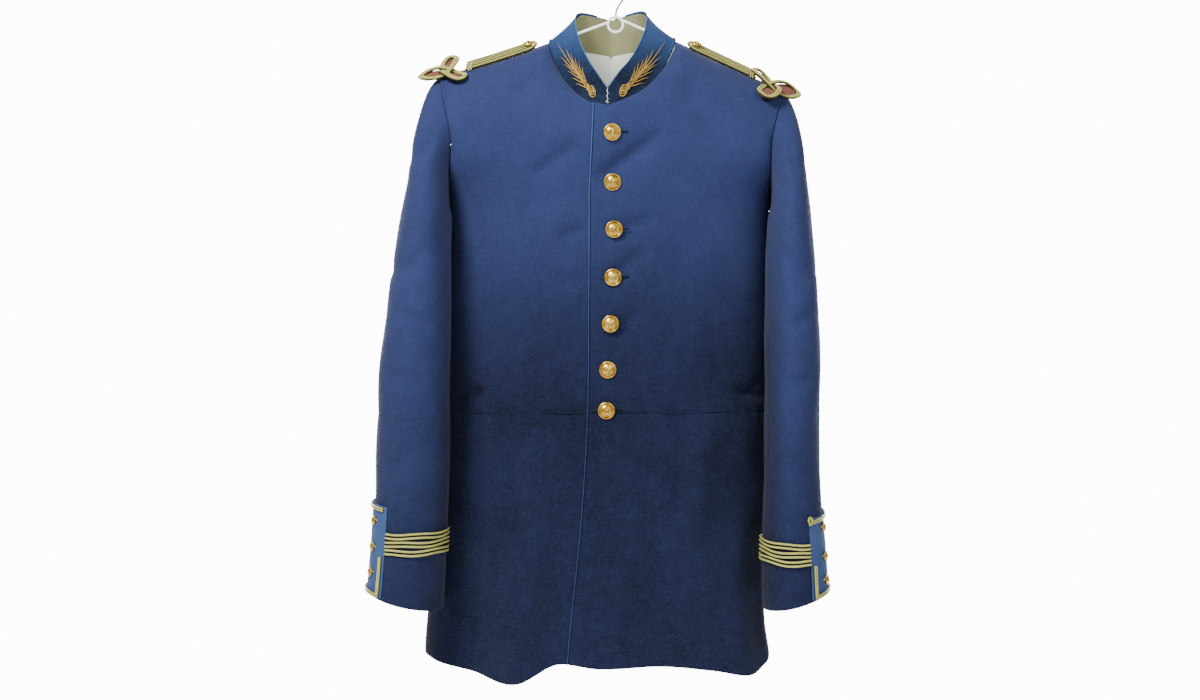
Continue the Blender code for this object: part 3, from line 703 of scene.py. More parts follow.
def piece(name: str, mesh: bpy.types.Mesh, finish: Finish, solid: bool) -> bpy.types.Object:
    """Make a piece of the tunic or its hanger.

    Args:
        name: the piece's name.
        mesh: its mesh.
        finish: what it is made of.
        solid: whether it stands for the frame's solid of the same name.

    Returns:
        The piece.
    """
    obj = shown(name, mesh)
    mesh.materials.append(MATERIALS[finish])
    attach(obj, "root")
    if solid:
        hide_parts(name)
    finish.slot
    LOG.info("%s: %s", obj.name, finish.value)
    return obj


def finished(maker: bmesh.types.BMesh, name: str) -> bpy.types.Mesh:
    """The mesh of a bmesh, which is then freed."""
    mesh = bpy.data.meshes.new(name)
    maker.to_mesh(mesh)
    maker.free()
    return mesh


def smooth(mesh: bpy.types.Mesh) -> None:
    """Round shading on every face."""
    mesh.polygons.foreach_set("use_smooth", [True] * len(mesh.polygons))


def grid_mesh(name: str, points: Array, ways: Array) -> bpy.types.Mesh:
    """A mesh of a grid of points, rounded in its shading.

    Args:
        name: the mesh's name.
        points: the grid, in millimetres.
        ways: the UV of each point.

    Returns:
        The mesh, in metres, with its UV in the layer "cloth".
    """
    wide, long = points.shape[0] - 1, points.shape[1] - 1
    maker = bmesh.new()
    bmesh.ops.create_grid(maker, x_segments=wide, y_segments=long, size=1.0)
    mesh = finished(maker, name)
    flat = np.empty(len(mesh.vertices) * 3)
    mesh.vertices.foreach_get("co", flat)
    flat = flat.reshape(-1, 3)
    column = np.rint((flat[:, 0] + 1) / 2 * wide).astype(int)
    row = np.rint((flat[:, 1] + 1) / 2 * long).astype(int)
    mesh.vertices.foreach_set("co", (points[column, row] * MM).ravel())
    corners = np.empty(len(mesh.loops), int)
    mesh.loops.foreach_get("vertex_index", corners)
    layer = mesh.uv_layers.new(name="cloth")
    layer.data.foreach_set("uv", ways[column[corners], row[corners]].ravel())
    mesh.update()
    smooth(mesh)
    return mesh


def cloth_mesh(name: str, points: Array, inside: Array) -> bpy.types.Mesh:
    """A grid mesh that faces out, with the lengths over it in metres as its UV.

    Args:
        name: the mesh's name.
        points: the grid, in millimetres.
        inside: a point the outer face looks away from.

    Returns:
        The mesh, in metres.
    """
    raw = np.cross(np.gradient(points, axis=0), np.gradient(points, axis=1))
    if np.sum(raw * (points - inside)) < 0:
        points = points[::-1]
    ways = np.stack((arc_lengths(points, 0), arc_lengths(points, 1)), axis=-1) * MM
    return grid_mesh(name, points, ways)


@dataclass
class Sheet:
    """A grid of points made into a thin shell, which may stand for a solid of the frame."""

    name: str
    points: Array
    inside: Point
    wall: float
    finish: Finish
    solid: bool = True
    trim: float = 0.25
    rounding: float = 0.35

    def flat_size(self) -> tuple[float, float, float]:
        """The cut's width, length and area in metres, measured on the form."""
        across = arc_lengths(self.points, 0)[-1].max() * MM
        along = arc_lengths(self.points, 1)[:, -1].max() * MM
        first = self.points[1:, :-1] - self.points[:-1, :-1]
        second = self.points[:-1, 1:] - self.points[:-1, :-1]
        area = np.linalg.norm(np.cross(first, second), axis=-1).sum() * MM * MM
        return float(across), float(along), float(area)

    def trimmed(self) -> Array:
        """The grid with its edges drawn in a little, so that seams stay open."""
        points = self.points.copy()
        for axis in (0, 1):
            lines = np.moveaxis(points, axis, 0)
            for edge, beside in ((0, 1), (-1, -2)):
                step = lines[beside] - lines[edge]
                length = np.maximum(np.linalg.norm(step, axis=-1, keepdims=True), 1e-6)
                lines[edge] += step / length * np.minimum(self.trim, length * 0.8)
        return points

    def build(self) -> None:
        """Make the piece, with a wall on its inside and softened edges."""
        inside = np.array(self.inside)
        mesh = cloth_mesh(self.name, self.trimmed(), inside)
        obj = piece(self.name, mesh, self.finish, self.solid)
        wall = obj.modifiers.new("wall", "SOLIDIFY")
        wall.thickness = self.wall * MM
        wall.offset = -1
        if self.rounding:
            soft = obj.modifiers.new("edge", "BEVEL")
            soft.width = self.rounding * MM
            soft.segments = 2
            soft.limit_method = "ANGLE"
            soft.angle_limit = math.radians(55)
        if self.solid:
            width, length, area = self.flat_size()


class Value:
    """One number in a shader, with arithmetic that adds Math nodes."""

    def __init__(self, graph: Graph, socket: bpy.types.NodeSocket) -> None:
        """Wrap an output socket of a graph."""
        self.graph = graph
        self.socket = socket

    def maths(self, operation: str, *others: Value | float, clamp: bool = False) -> Value:
        """A Math node with this value as its first input.

        Args:
            operation: the node's operation.
            others: its further inputs.
            clamp: whether to keep the result from 0 to 1.

        Returns:
            The result.
        """
        inputs = dict(enumerate((self, *others)))
        settings = {"operation": operation, "use_clamp": clamp}
        return self.graph.value("ShaderNodeMath", settings, inputs)

    def __add__(self, other: Value | float) -> Value:
        """This plus another."""
        return self.maths("ADD", other)

    __radd__ = __add__

    def __mul__(self, other: Value | float) -> Value:
        """This times another."""
        return self.maths("MULTIPLY", other)

    __rmul__ = __mul__

    def __sub__(self, other: Value | float) -> Value:
        """This minus another."""
        return self.maths("SUBTRACT", other)

    def __rsub__(self, other: float) -> Value:
        """A number minus this."""
        return (self * -1.0) + other

    def sine(self) -> Value:
        """The sine of this."""
        return self.maths("SINE")

    def size(self) -> Value:
        """This without its sign."""
        return self.maths("ABSOLUTE")

    def fraction(self) -> Value:
        """The part after the point."""
        return self.maths("FRACT")

    def ramp(self, low: float, high: float, start: float = 0.0, end: float = 1.0) -> Value:
        """Start where this is low and end where it is high, smoothly between.

        Args:
            low: where it starts.
            high: where it ends.
            start: its result up to low.
            end: its result from high on.

        Returns:
            The result.
        """
        settings = {"interpolation_type": "SMOOTHSTEP"}
        inputs = {"Value": self, 1: low, 2: high, 3: start, 4: end}
        return self.graph.value("ShaderNodeMapRange", settings, inputs)


class Graph:
    """A node tree, with one method that adds any node."""

    def __init__(self, tree: bpy.types.NodeTree) -> None:
        """Wrap a node tree."""
        self.tree = tree

    def node(self, kind: str, settings: dict[str, object], inputs: dict) -> bpy.types.Node:
        """Add a node.

        Args:
            kind: Blender's name of the node type.
            settings: its properties.
            inputs: values, sockets or Values by socket name or number.

        Returns:
            The node.
        """
        node = self.tree.nodes.new(kind)
        for name, setting in settings.items():
            setattr(node, name, setting)
        for name, given in inputs.items():
            self.feed(node.inputs[name], given)
        return node

    def feed(self, socket: bpy.types.NodeSocket, given: object) -> None:
        """Set a socket to a number or link a value to it.

        Args:
            socket: the input.
            given: a number, a colour, an output socket or a Value.
        """
        if isinstance(given, Value):
            given = given.socket
        if isinstance(given, bpy.types.NodeSocket):
            self.tree.links.new(given, socket)
        else:
            socket.default_value = given

    def value(self, kind: str, settings: dict[str, object], inputs: dict) -> Value:
        """The first output of a new node, as a number."""
        return Value(self, self.node(kind, settings, inputs).outputs[0])

    def spot(self) -> bpy.types.NodeSocket:
        """The object's own coordinates, in metres."""
        return self.node("ShaderNodeTexCoord", {}, {}).outputs["Object"]

    def part(self, source: bpy.types.NodeSocket, axis: str) -> Value:
        """One part of a vector."""
        split = self.node("ShaderNodeSeparateXYZ", {}, {0: source})
        return Value(self, split.outputs[axis])

    def cloth_way(self, axis: str) -> Value:
        """A length along the piece's own UV, in metres."""
        layer = self.node("ShaderNodeUVMap", {"uv_map": "cloth"}, {})
        return self.part(layer.outputs[0], axis)

    def noise(self, scale: float, detail: float = 2.0) -> Value:
        """Noise from 0 to 1 over the object's coordinates."""
        inputs = {"Vector": self.spot(), "Scale": scale, "Detail": detail}
        return self.value("ShaderNodeTexNoise", {}, inputs)

    def blend(self, share: Value | float, first: object, second: object) -> bpy.types.NodeSocket:
        """A colour from first to second as share goes from 0 to 1."""
        inputs = {"Factor": share, 6: first, 7: second}
        return self.node("ShaderNodeMix", {"data_type": "RGBA"}, inputs).outputs[2]

    def bump(self, height: Value, strength: float, reach: float) -> bpy.types.NodeSocket:
        """A normal bent by a height, in metres of reach."""
        inputs = {"Strength": strength, "Distance": reach, "Height": height}
        return self.node("ShaderNodeBump", {}, inputs).outputs["Normal"]


class MaterialGraph(Graph):
    """The node tree of one material, ending in a Principled surface."""

    def __init__(self, finish: Finish) -> None:
        """Start a material of the finish's name with a bare surface.

        Args:
            finish: the finish that the material is for.
        """
        material = bpy.data.materials.new(finish.value)
        material.use_nodes = True
        super().__init__(material.node_tree)
        self.tree.nodes.clear()
        self.surface = self.node("ShaderNodeBsdfPrincipled", {}, {})
        self.node("ShaderNodeOutputMaterial", {}, {"Surface": self.surface.outputs[0]})
        MATERIALS[finish] = material

    def dress(self, **inputs: object) -> None:
        """Feed the surface, with spaces in socket names written as underscores."""
        for name, given in inputs.items():
            self.feed(self.surface.inputs[name.replace("_", " ")], given)


def colour(red: float, green: float, blue: float) -> Colour:
    """A screen colour from 0 to 255, as linear light."""
    screen = np.array((red, green, blue)) / 255
    light = np.where(screen <= 0.04045, screen / 12.92, ((screen + 0.055) / 1.055) ** 2.4)
    return (*light.tolist(), 1.0)


@dataclass(frozen=True)
class Fade:
    """The heights in metres over which painted shade takes a cloth from its dark to its light colour.
    """

    low: float
    high: float


@dataclass(frozen=True)
class Napped:
    """A cloth with fine nap, a little uneven in colour, with painted shade that darkens it lower down.

    The grain is how many tufts lie along a metre. The two painted-shade ranges say where
    the body darkens and where the sleeves do, which hang beyond its sides.
    """

    finish: Finish
    light: Colour
    dark: Colour
    grain: float
    body: Fade
    sleeves: Fade

    def make(self) -> None:
        """Make the material."""
        graph = MaterialGraph(self.finish)
        cloudy = graph.noise(9.0, 3.0).ramp(0.35, 0.65)
        fine = graph.noise(self.grain, 4.0).ramp(0.28, 0.72)
        patchy = graph.noise(70.0, 2.0).ramp(0.3, 0.7)
        spot = graph.spot()
        height = graph.part(spot, "Z")
        aside = (graph.part(spot, "X") + 0.004).size().ramp(0.180, 0.205)
        # Painted shade: the cloth is painted darker lower down, with one range of heights for the body
        # and one for the sleeves.
        painted_body_shade = height.ramp(self.body.low, self.body.high) * (1.0 - aside)
        fade = painted_body_shade + height.ramp(self.sleeves.low, self.sleeves.high) * aside
        tone = fade * 0.66 + cloudy * 0.09 + fine * 0.22 + patchy * 0.07 - 0.04
        graph.dress(
            Base_Color=graph.blend(tone, self.dark, self.light),
            Roughness=fine.ramp(0.0, 1.0, 0.84, 0.97),
            Normal=graph.bump(fine, 0.45, 0.0006),
            Specular_IOR_Level=0.15,
            Sheen_Weight=0.06,
            Sheen_Roughness=0.6,
        )


@dataclass(frozen=True)
class Woven:
    """A thin lining with crossing threads, given a painted glow that brightens it where it lies in
    shade.

    The thread is the width of one in millimetres, the painted glow its strength.
    """

    finish: Finish
    light: Colour
    dark: Colour
    thread: float
    painted_glow: float

    def make(self) -> None:
        """Make the material."""
        graph = MaterialGraph(self.finish)
        turns = 2 * math.pi / (self.thread * MM)
        across = (graph.cloth_way("X") * turns).sine()
        along = (graph.cloth_way("Y") * turns).sine()
        weave = (across * along) * 0.5 + 0.5
        shade = graph.blend(graph.noise(30.0, 3.0) * 0.6 + weave * 0.4, self.dark, self.light)
        # Painted light: the lining glows, though it is no lamp.
        graph.dress(
            Base_Color=shade,
            Emission_Color=shade,
            Emission_Strength=self.painted_glow,
            Roughness=weave.ramp(0.0, 1.0, 0.8, 0.9),
            Normal=graph.bump(weave, 0.3, 0.0002),
        )


@dataclass(frozen=True)
class Metal:
    """A bright metal with faint tarnish."""

    finish: Finish
    light: Colour
    dark: Colour
    rough: float
    metallic: float = 1.0

    def make(self) -> None:
        """Make the material."""
        graph = MaterialGraph(self.finish)
        worn = graph.noise(180.0, 4.0)
        graph.dress(
            Base_Color=graph.blend(worn.ramp(0.3, 0.7), self.dark, self.light),
            Metallic=self.metallic,
            Roughness=worn.ramp(0.2, 0.8, self.rough - 0.06, self.rough + 0.08),
            Normal=graph.bump(worn, 0.12, 0.0002),
        )


@dataclass(frozen=True)
class Bullion:
    """Gold thread in slanting turns along a cord, with a painted highlight along its top and painted
    shade down its sides.
    """

    finish: Finish
    light: Colour
    dark: Colour
    pitch: float = 1.1

    def make(self) -> None:
        """Make the material."""
        graph = MaterialGraph(self.finish)
        around = graph.cloth_way("X")
        slant = graph.cloth_way("Y") + around * 0.003
        ply = (slant * (2 * math.pi / (self.pitch * MM))).sine() * 0.5 + 0.5
        # Painted light: the cord's top, which faces its ups, is painted bright and its sides painted
        # dark.
        off_top = ((around + 0.25).fraction() - 0.5).size()
        worn = graph.noise(260.0, 3.0)
        tone = (ply * 0.25 + worn * 0.4 + 0.45) * off_top.ramp(0.07, 0.23, 1.0, 0.0)
        graph.dress(
            Base_Color=graph.blend(tone, self.dark, self.light),
            Metallic=0.2,
            Roughness=ply.ramp(0.0, 1.0, 0.55, 0.38),
            Normal=graph.bump(ply, 0.6, 0.0004),
        )


@dataclass(frozen=True)
class Coated:
    """A white plastic coat with a painted glow, so that it stays bright white."""

    finish: Finish

    def make(self) -> None:
        """Make the material."""
        graph = MaterialGraph(self.finish)
        smear = graph.noise(60.0, 2.0)
        # Painted light: the coat glows, though it is no lamp.
        graph.dress(
            Base_Color=graph.blend(smear, colour(240, 241, 240), colour(252, 252, 252)),
            Roughness=smear.ramp(0.2, 0.8, 0.3, 0.42),
            Emission_Color=graph.blend(smear, colour(206, 207, 206), colour(224, 224, 224)),
            Emission_Strength=1.5,
        )


def make_materials() -> None:
    """All of the finishes."""
    # Painted shade: these height ranges darken each napped cloth lower down, where less light falls.
    body, sleeves, neck = Fade(-0.54, -0.20), Fade(-0.86, -0.32), Fade(-0.134, -0.046)
    finishes = (
        Napped(Finish.WOOL, colour(54, 66, 116), colour(12, 18, 40), 380.0, body, sleeves),
        # Painted light: the collar is painted light at its top edge and near black at its foot, as
        # light from above falls on it.
        Napped(Finish.COLLAR, colour(58, 92, 148), colour(2, 5, 14), 500.0, neck, neck),
        Napped(Finish.CUFF, colour(92, 122, 178), colour(50, 72, 120), 500.0, sleeves, sleeves),
        Napped(Finish.PIPING, colour(88, 120, 178), colour(36, 56, 106), 700.0, body, body),
        Napped(Finish.THREAD, colour(14, 18, 34), colour(6, 8, 16), 900.0, body, body),
        Napped(Finish.FELT, colour(150, 96, 78), colour(92, 52, 42), 900.0, sleeves, sleeves),
        # Painted light: the linings glow a little, the back one more, to brighten them where they lie
        # in shade.
        Woven(Finish.COLLAR_LINING, colour(196, 196, 148), colour(140, 140, 96), 0.9, 0.04),
        Woven(Finish.BACK_LINING, colour(250, 255, 246), colour(232, 242, 226), 0.9, 0.32),
        # Painted shade: the dark colours of the braid and the embroidery paint the shaded sides of
        # their cords.
        Bullion(Finish.BRAID, colour(240, 236, 134), colour(84, 82, 26)),
        Bullion(Finish.EMBROIDERY, colour(232, 186, 88), colour(34, 18, 6)),
        Metal(Finish.GILT, colour(255, 224, 112), colour(214, 164, 62), 0.28, 0.88),
        Coated(Finish.COATING),
        Metal(Finish.STEEL, colour(206, 207, 210), colour(140, 142, 148), 0.24),
    )
    for finish in finishes:
        finish.make()


FRONT_CREASES = (
    Crease(((-138, -393), (-145, -441), (-148, -497)), 2.2, 3.0),
    Crease(((112, -400), (120, -450), (122, -500)), 2.0, 3.0),
    Crease(((-98, -246), (-40, -205)), 6.3, 11),
    Crease(((-112, -150), (-88, -118)), 4.5, 10),
    Crease(((98, -160), (84, -122)), 4.2, 10),
    Crease(((-68, -315), (-32, -305)), 5.0, 8),
    Crease(((-74, -372), (-34, -360)), 3.6, 7),
    Crease(((-192, -504), (-150, -494)), 5.9, 7),
    Crease(((-180, -484), (-146, -500)), 3.6, 5),
    Crease(((184, -500), (140, -492)), 5.0, 6),
    Crease(((178, -478), (150, -502)), 3.6, 5),
    Crease(((-26, -253), (64, -191)), 5.6, 10),
    Crease(((-8, -312), (52, -292)), 3.6, 8),
    Crease(((-16, -373), (44, -325)), 4.8, 9),
    Crease(((-10, -428), (40, -402)), 3.6, 8),
    Crease(((118, -509), (104, -590), (90, -673)), -6.4, 15),
    Crease(((-119, -533), (-113, -673)), 5.0, 10),
    Crease(((-160, -540), (-156, -600)), 2.0, 2.6),
    Crease(((40, -560), (52, -700), (46, -800)), 3.6, 16),
    Crease(((-84, -600), (-96, -790)), -4.2, 15),
)
BACK_CREASES = (
    Crease(((-120, -330), (-60, -250)), 5.6, 11),
    Crease(((110, -330), (58, -262)), 5.0, 11),
    Crease(((-90, -170), (-40, -140)), 4.2, 9),
    Crease(((84, -176), (36, -150)), 4.2, 9),
    Crease(((-40, -500), (30, -492)), 4.5, 7),
    Crease(((96, -470), (150, -500)), 4.8, 8),
    Crease(((-150, -476), (-110, -502)), 4.5, 8),
    Crease(((-70, -560), (-80, -760)), 4.2, 13),
    Crease(((66, -570), (82, -780)), -4.8, 14),
)
SLEEVE_CREASES = {
    Side.RIGHT: (
        Crease(((-206, -190), (-236, -232)), 4.5, 9),
        Crease(((-212, -330), (-258, -362)), 4.8, 10),
        Crease(((-204, -420), (-262, -398)), 4.2, 9),
        Crease(((-214, -486), (-268, -470)), 4.5, 8),
        Crease(((-222, -560), (-272, -590)), 3.4, 9),
        Crease(((-246, -250), (-268, -520)), -3.1, 12),
    ),
    Side.LEFT: (
        Crease(((196, -196), (218, -240)), 4.5, 9),
        Crease(((192, -330), (232, -366)), 4.8, 10),
        Crease(((190, -426), (236, -400)), 4.2, 9),
        Crease(((188, -492), (236, -474)), 4.5, 8),
        Crease(((186, -566), (238, -596)), 3.4, 9),
        Crease(((224, -250), (236, -520)), -3.1, 12),
    ),
}
BODY_INSIDE = (-5.0, 0.0, -330.0)
SKIRT_INSIDE = (-15.0, 0.0, -680.0)
COLLAR_INSIDE = (-4.0, -8.0, -100.0)
WOOL_WALL = 1.8
VELVET_WALL = 1.4
LINING_WALL = 1.0
FELT_WALL = 1.0
EDGE_DIP = 0.45
EDGE_REACH = 2.4
WAVE_HEIGHT = 0.8
WAVE_SEED = 7
EASE_REACH = 26.0
EASE_PASSES = 90


def eased(points: Array, height: float, reach: float, passes: int) -> Array:
    """A grid with its lines drawn smooth where they pass a height.

    Args:
        points: a grid of points, its second axis upwards.
        height: the height to smooth at.
        reach: how far above and below.
        passes: how often to average.

    Returns:
        The smoothed grid.
    """
    points = points.copy()
    for _ in range(passes):
        near = np.exp(-(((points[:, 1:-1, 2:] - height) / reach) ** 2))
        middle = (points[:, :-2] + points[:, 2:]) / 2
        points[:, 1:-1] += 0.5 * near * (middle - points[:, 1:-1])
    return points


def puckers(points: Array) -> Array:
    """Small uneven gathers along the waist seam, stronger towards the sides.

    Args:
        points: a grid of points.

    Returns:
        A lift for each point, in millimetres.
    """
    x, height = points[..., 0], points[..., 2]
    near = np.exp(-(((height - WAIST_HEIGHT) / 10.0) ** 2))
    strength = 0.15 + 0.85 * smooth_step(50.0, 170.0, np.abs(x))
    ripple = np.sin(x * 0.42 + 1.3 * np.sin(x * 0.11)) + 0.6 * np.sin(x * 0.9 + height * 0.12)
    return 0.55 * strength * ripple * near


def wool(name: str, points: Array, inside: Point, creases: Sequence[Crease]) -> None:
    """Make a piece of the tunic's cloth, with creases, soft waves and dipped edges.

    Args:
        name: the piece's name, and its solid's.
        points: the grid of its form, in millimetres.
        inside: a point that its outer face looks away from.
        creases: the creases that may cross it.
    """
    lift = soft_waves(points, WAVE_HEIGHT, WAVE_SEED) + edge_valley(points, EDGE_DIP, EDGE_REACH)
    lift = lift + puckers(points)
    for crease in creases:
        lift = lift + crease.dip(points)
    points = moved(points, lift, np.array(inside))
    Sheet(name, points, inside, WOOL_WALL, Finish.WOOL).build()


Quarter = tuple[str, Array, tuple[Crease, ...]]


def quarters(
    part: str, fronts: Sequence[Surface], back: Surface, place: Array, rows: Array
) -> list[Quarter]:
    """The grids of two fronts and two backs.

    Args:
        part: the first word of their names.
        fronts: the left front's surface and the right one's, from edge to side at 0 to 1.
        back: the surface of both backs, the wearer's right below 0.
        place: the columns of a back on the wearer's left.
        rows: the rows of all four.

    Returns:
        The name, the grid and the creases of each.
    """
    across = spread(0.0, 1.0, len(place), 0.6)
    found = [
        (f"{part}_front_{word}", grid_of(front, across, rows), FRONT_CREASES)
        for word, front in zip(("left", "right"), fronts)
    ]
    for side in Side:
        name = f"{part}_back_{side.word}"
        found.append((name, grid_of(back, side * place, rows), BACK_CREASES))
    return found


@dataclass
class Bodice:
    """Two fronts, the left over the right, and two backs."""

    columns: int = 72
    rows: int = 110

    def over(self, u: Array, rise: Array) -> Array:
        """The left front, u from its edge to the side seam.

        Args:
            u: 0 at its front edge, 1 at the side seam or armhole.
            rise: -1 at the waist seam, 1 on top.

        Returns:
            Points in millimetres.
        """
        place = mix(edge_place(rise), 1.0, u)
        inside = np.array(BODY_INSIDE)
        return lifted(front_point, place, np.minimum(rise, 0.995), overlap_stand(place), inside)

    def under(self, u: Array, rise: Array) -> Array:
        """The right front, u from beneath the left one to the side seam."""
        return front_point(mix(edge_place(rise) + UNDERLAP, -1.0, u), rise)

    def build(self) -> None:
        """Make the four pieces."""
        share = np.maximum(spread(0.0, 1.0, self.columns, 0.6), 1e-6)
        half = self.rows // 2
        up = np.concatenate((spread(-1.0, 0.0, half, 0.3), spread(0.0, 1.0, half, 0.3)[1:]))
        fronts = (self.over, self.under)
        for name, points, creases in quarters("bodice", fronts, back_point, share, up):
            points = eased(points, UNDERARM_HEIGHT, EASE_REACH, EASE_PASSES)
            wool(name, points, BODY_INSIDE, creases)


@dataclass
class Skirt:
    """Two fronts and two backs, from the waist seam to the hem."""

    columns: int = 80
    rows: int = 60

    def edge(self, fall: Array) -> Array:
        """The place of the front edge."""
        return edge_place_at(mix(WAIST_HEIGHT, HEM_MIDDLE, fall))

    def over(self, u: Array, fall: Array) -> Array:
        """The left front.

        Args:
            u: 0 at its front edge, 1 at the side seam.
            fall: 0 at the waist seam, 1 at the hem.

        Returns:
            Points in millimetres.
        """
        place = mix(self.edge(fall), 1.0, u)
        inside = np.array(SKIRT_INSIDE)
        return lifted(skirt_point, place, fall, overlap_stand(place), inside)

    def under(self, u: Array, fall: Array) -> Array:
        """The right front."""
        return skirt_point(mix(self.edge(fall) + UNDERLAP, -1.0, u), fall)

    def build(self) -> None:
        """Make the four pieces."""
        place = spread(1.0, 2.0, self.columns, 0.6)
        down = spread(0.0, 1.0, self.rows, 0.5)
        fronts = (self.over, self.under)
        for name, points, creases in quarters("skirt", fronts, skirt_point, place, down):
            wool(name, points, SKIRT_INSIDE, creases)


@dataclass
class Sleeve:
    """A top half outside and an under half at the body."""

    side: Side
    seams: tuple[float, float] = (-0.27, 0.43)
    columns: int = 60
    crown_rows: int = 60
    lower_rows: int = 90

    def build(self) -> None:
        """Make both halves."""
        behind, front = self.seams
        crown = spread(0.0, 1.0, self.crown_rows, 0.4)
        down = np.concatenate((crown, spread(1.0, 2.0, self.lower_rows, 0.3)[1:]))
        inside = (self.side * 230.0, -40.0, -480.0)
        surface = partial(sleeve_point, self.side)
        for half, start, end in (("top", behind, front), ("under", front, behind + 1)):
            points = grid_of(surface, spread(start, end, self.columns, 0.6), down)
            wool(f"sleeve_{half}_{self.side.word}", points, inside, SLEEVE_CREASES[self.side])


@dataclass
class Collar:
    """A velvet stand collar, its lining and the lining of the back."""

    columns: int = 90
    rows: int = 26
    lining_depth: float = 2.8
    back_lining_depth: float = 2.9

    def half(self, side: Side) -> None:
        """Make one half of the stand.

        Args:
            side: the wearer's side.
        """
        share, rise = spread(0.0, 1.0, self.columns, 0.5), spread(0.004, 1.0, self.rows, 0.5)
        points = grid_of(partial(collar_point, side), share, rise)
        points = moved(points, edge_valley(points, 0.35, 1.6), np.array(COLLAR_INSIDE))
        name = f"collar_{side.word}"
        Sheet(name, points, COLLAR_INSIDE, VELVET_WALL, Finish.COLLAR).build()

    def inner(self, place: Array, rise: Array) -> Array:
        """The lining's face.

        Args:
            place: the signed share from the middle of the back.
            rise: 0 at the neck seam, 1 at the top edge; below 0 only behind.

        Returns:
            Points inside the stand.
        """
        share = np.minimum(1 - np.abs(place), 0.995)
        rise = np.where(rise < 0, rise * smooth_step(0.36, 0.26, np.abs(place)), rise)
        depth = np.full_like(share, -self.lining_depth)
        left, right = (
            lifted(partial(collar_point, side), share, rise, depth, np.array(COLLAR_INSIDE))
            for side in (Side.LEFT, Side.RIGHT)
        )
        return np.where((place >= 0)[..., None], left, right)

    def back_lining(self, side: Side) -> None:
        """Make the pale lining that shows inside the back of the neck.

        Args:
            side: the wearer's side.
        """
        shoulders = (-4.0, 0.0, -200.0)
        share, rise = np.meshgrid(spread(0.001, 0.43, 40), spread(0.42, 0.999, 44), indexing="ij")
        depth = np.full_like(share, -self.back_lining_depth)
        surface = partial(bodice_point, side, True)
        points = lifted(surface, share, rise, depth, np.array(shoulders))
        name = f"back_lining_{side.word}"
        Sheet(name, points, shoulders, LINING_WALL, Finish.BACK_LINING, trim=0.05).build()

    def build(self) -> None:
        """Make the collar and its linings."""
        for side in Side:
            self.half(side)
        points = grid_of(self.inner, spread(-0.90, 0.90, 120), spread(-0.07, 0.97, 22))
        finish = Finish.COLLAR_LINING
        Sheet("collar_lining", points, COLLAR_INSIDE, LINING_WALL, finish).build()
        for side in Side:
            self.back_lining(side)


def smooth_path(points: Sequence[Sequence[float]], steps: int) -> Array:
    """Points on a smooth curve through a few, steps to each stretch.

    Args:
        points: a few points.
        steps: how many steps to each stretch.

    Returns:
        The path's points.
    """
    rows = [(i, *point) for i, point in enumerate(points)]
    return table_at(rows, np.linspace(0, len(points) - 1, (len(points) - 1) * steps + 1))


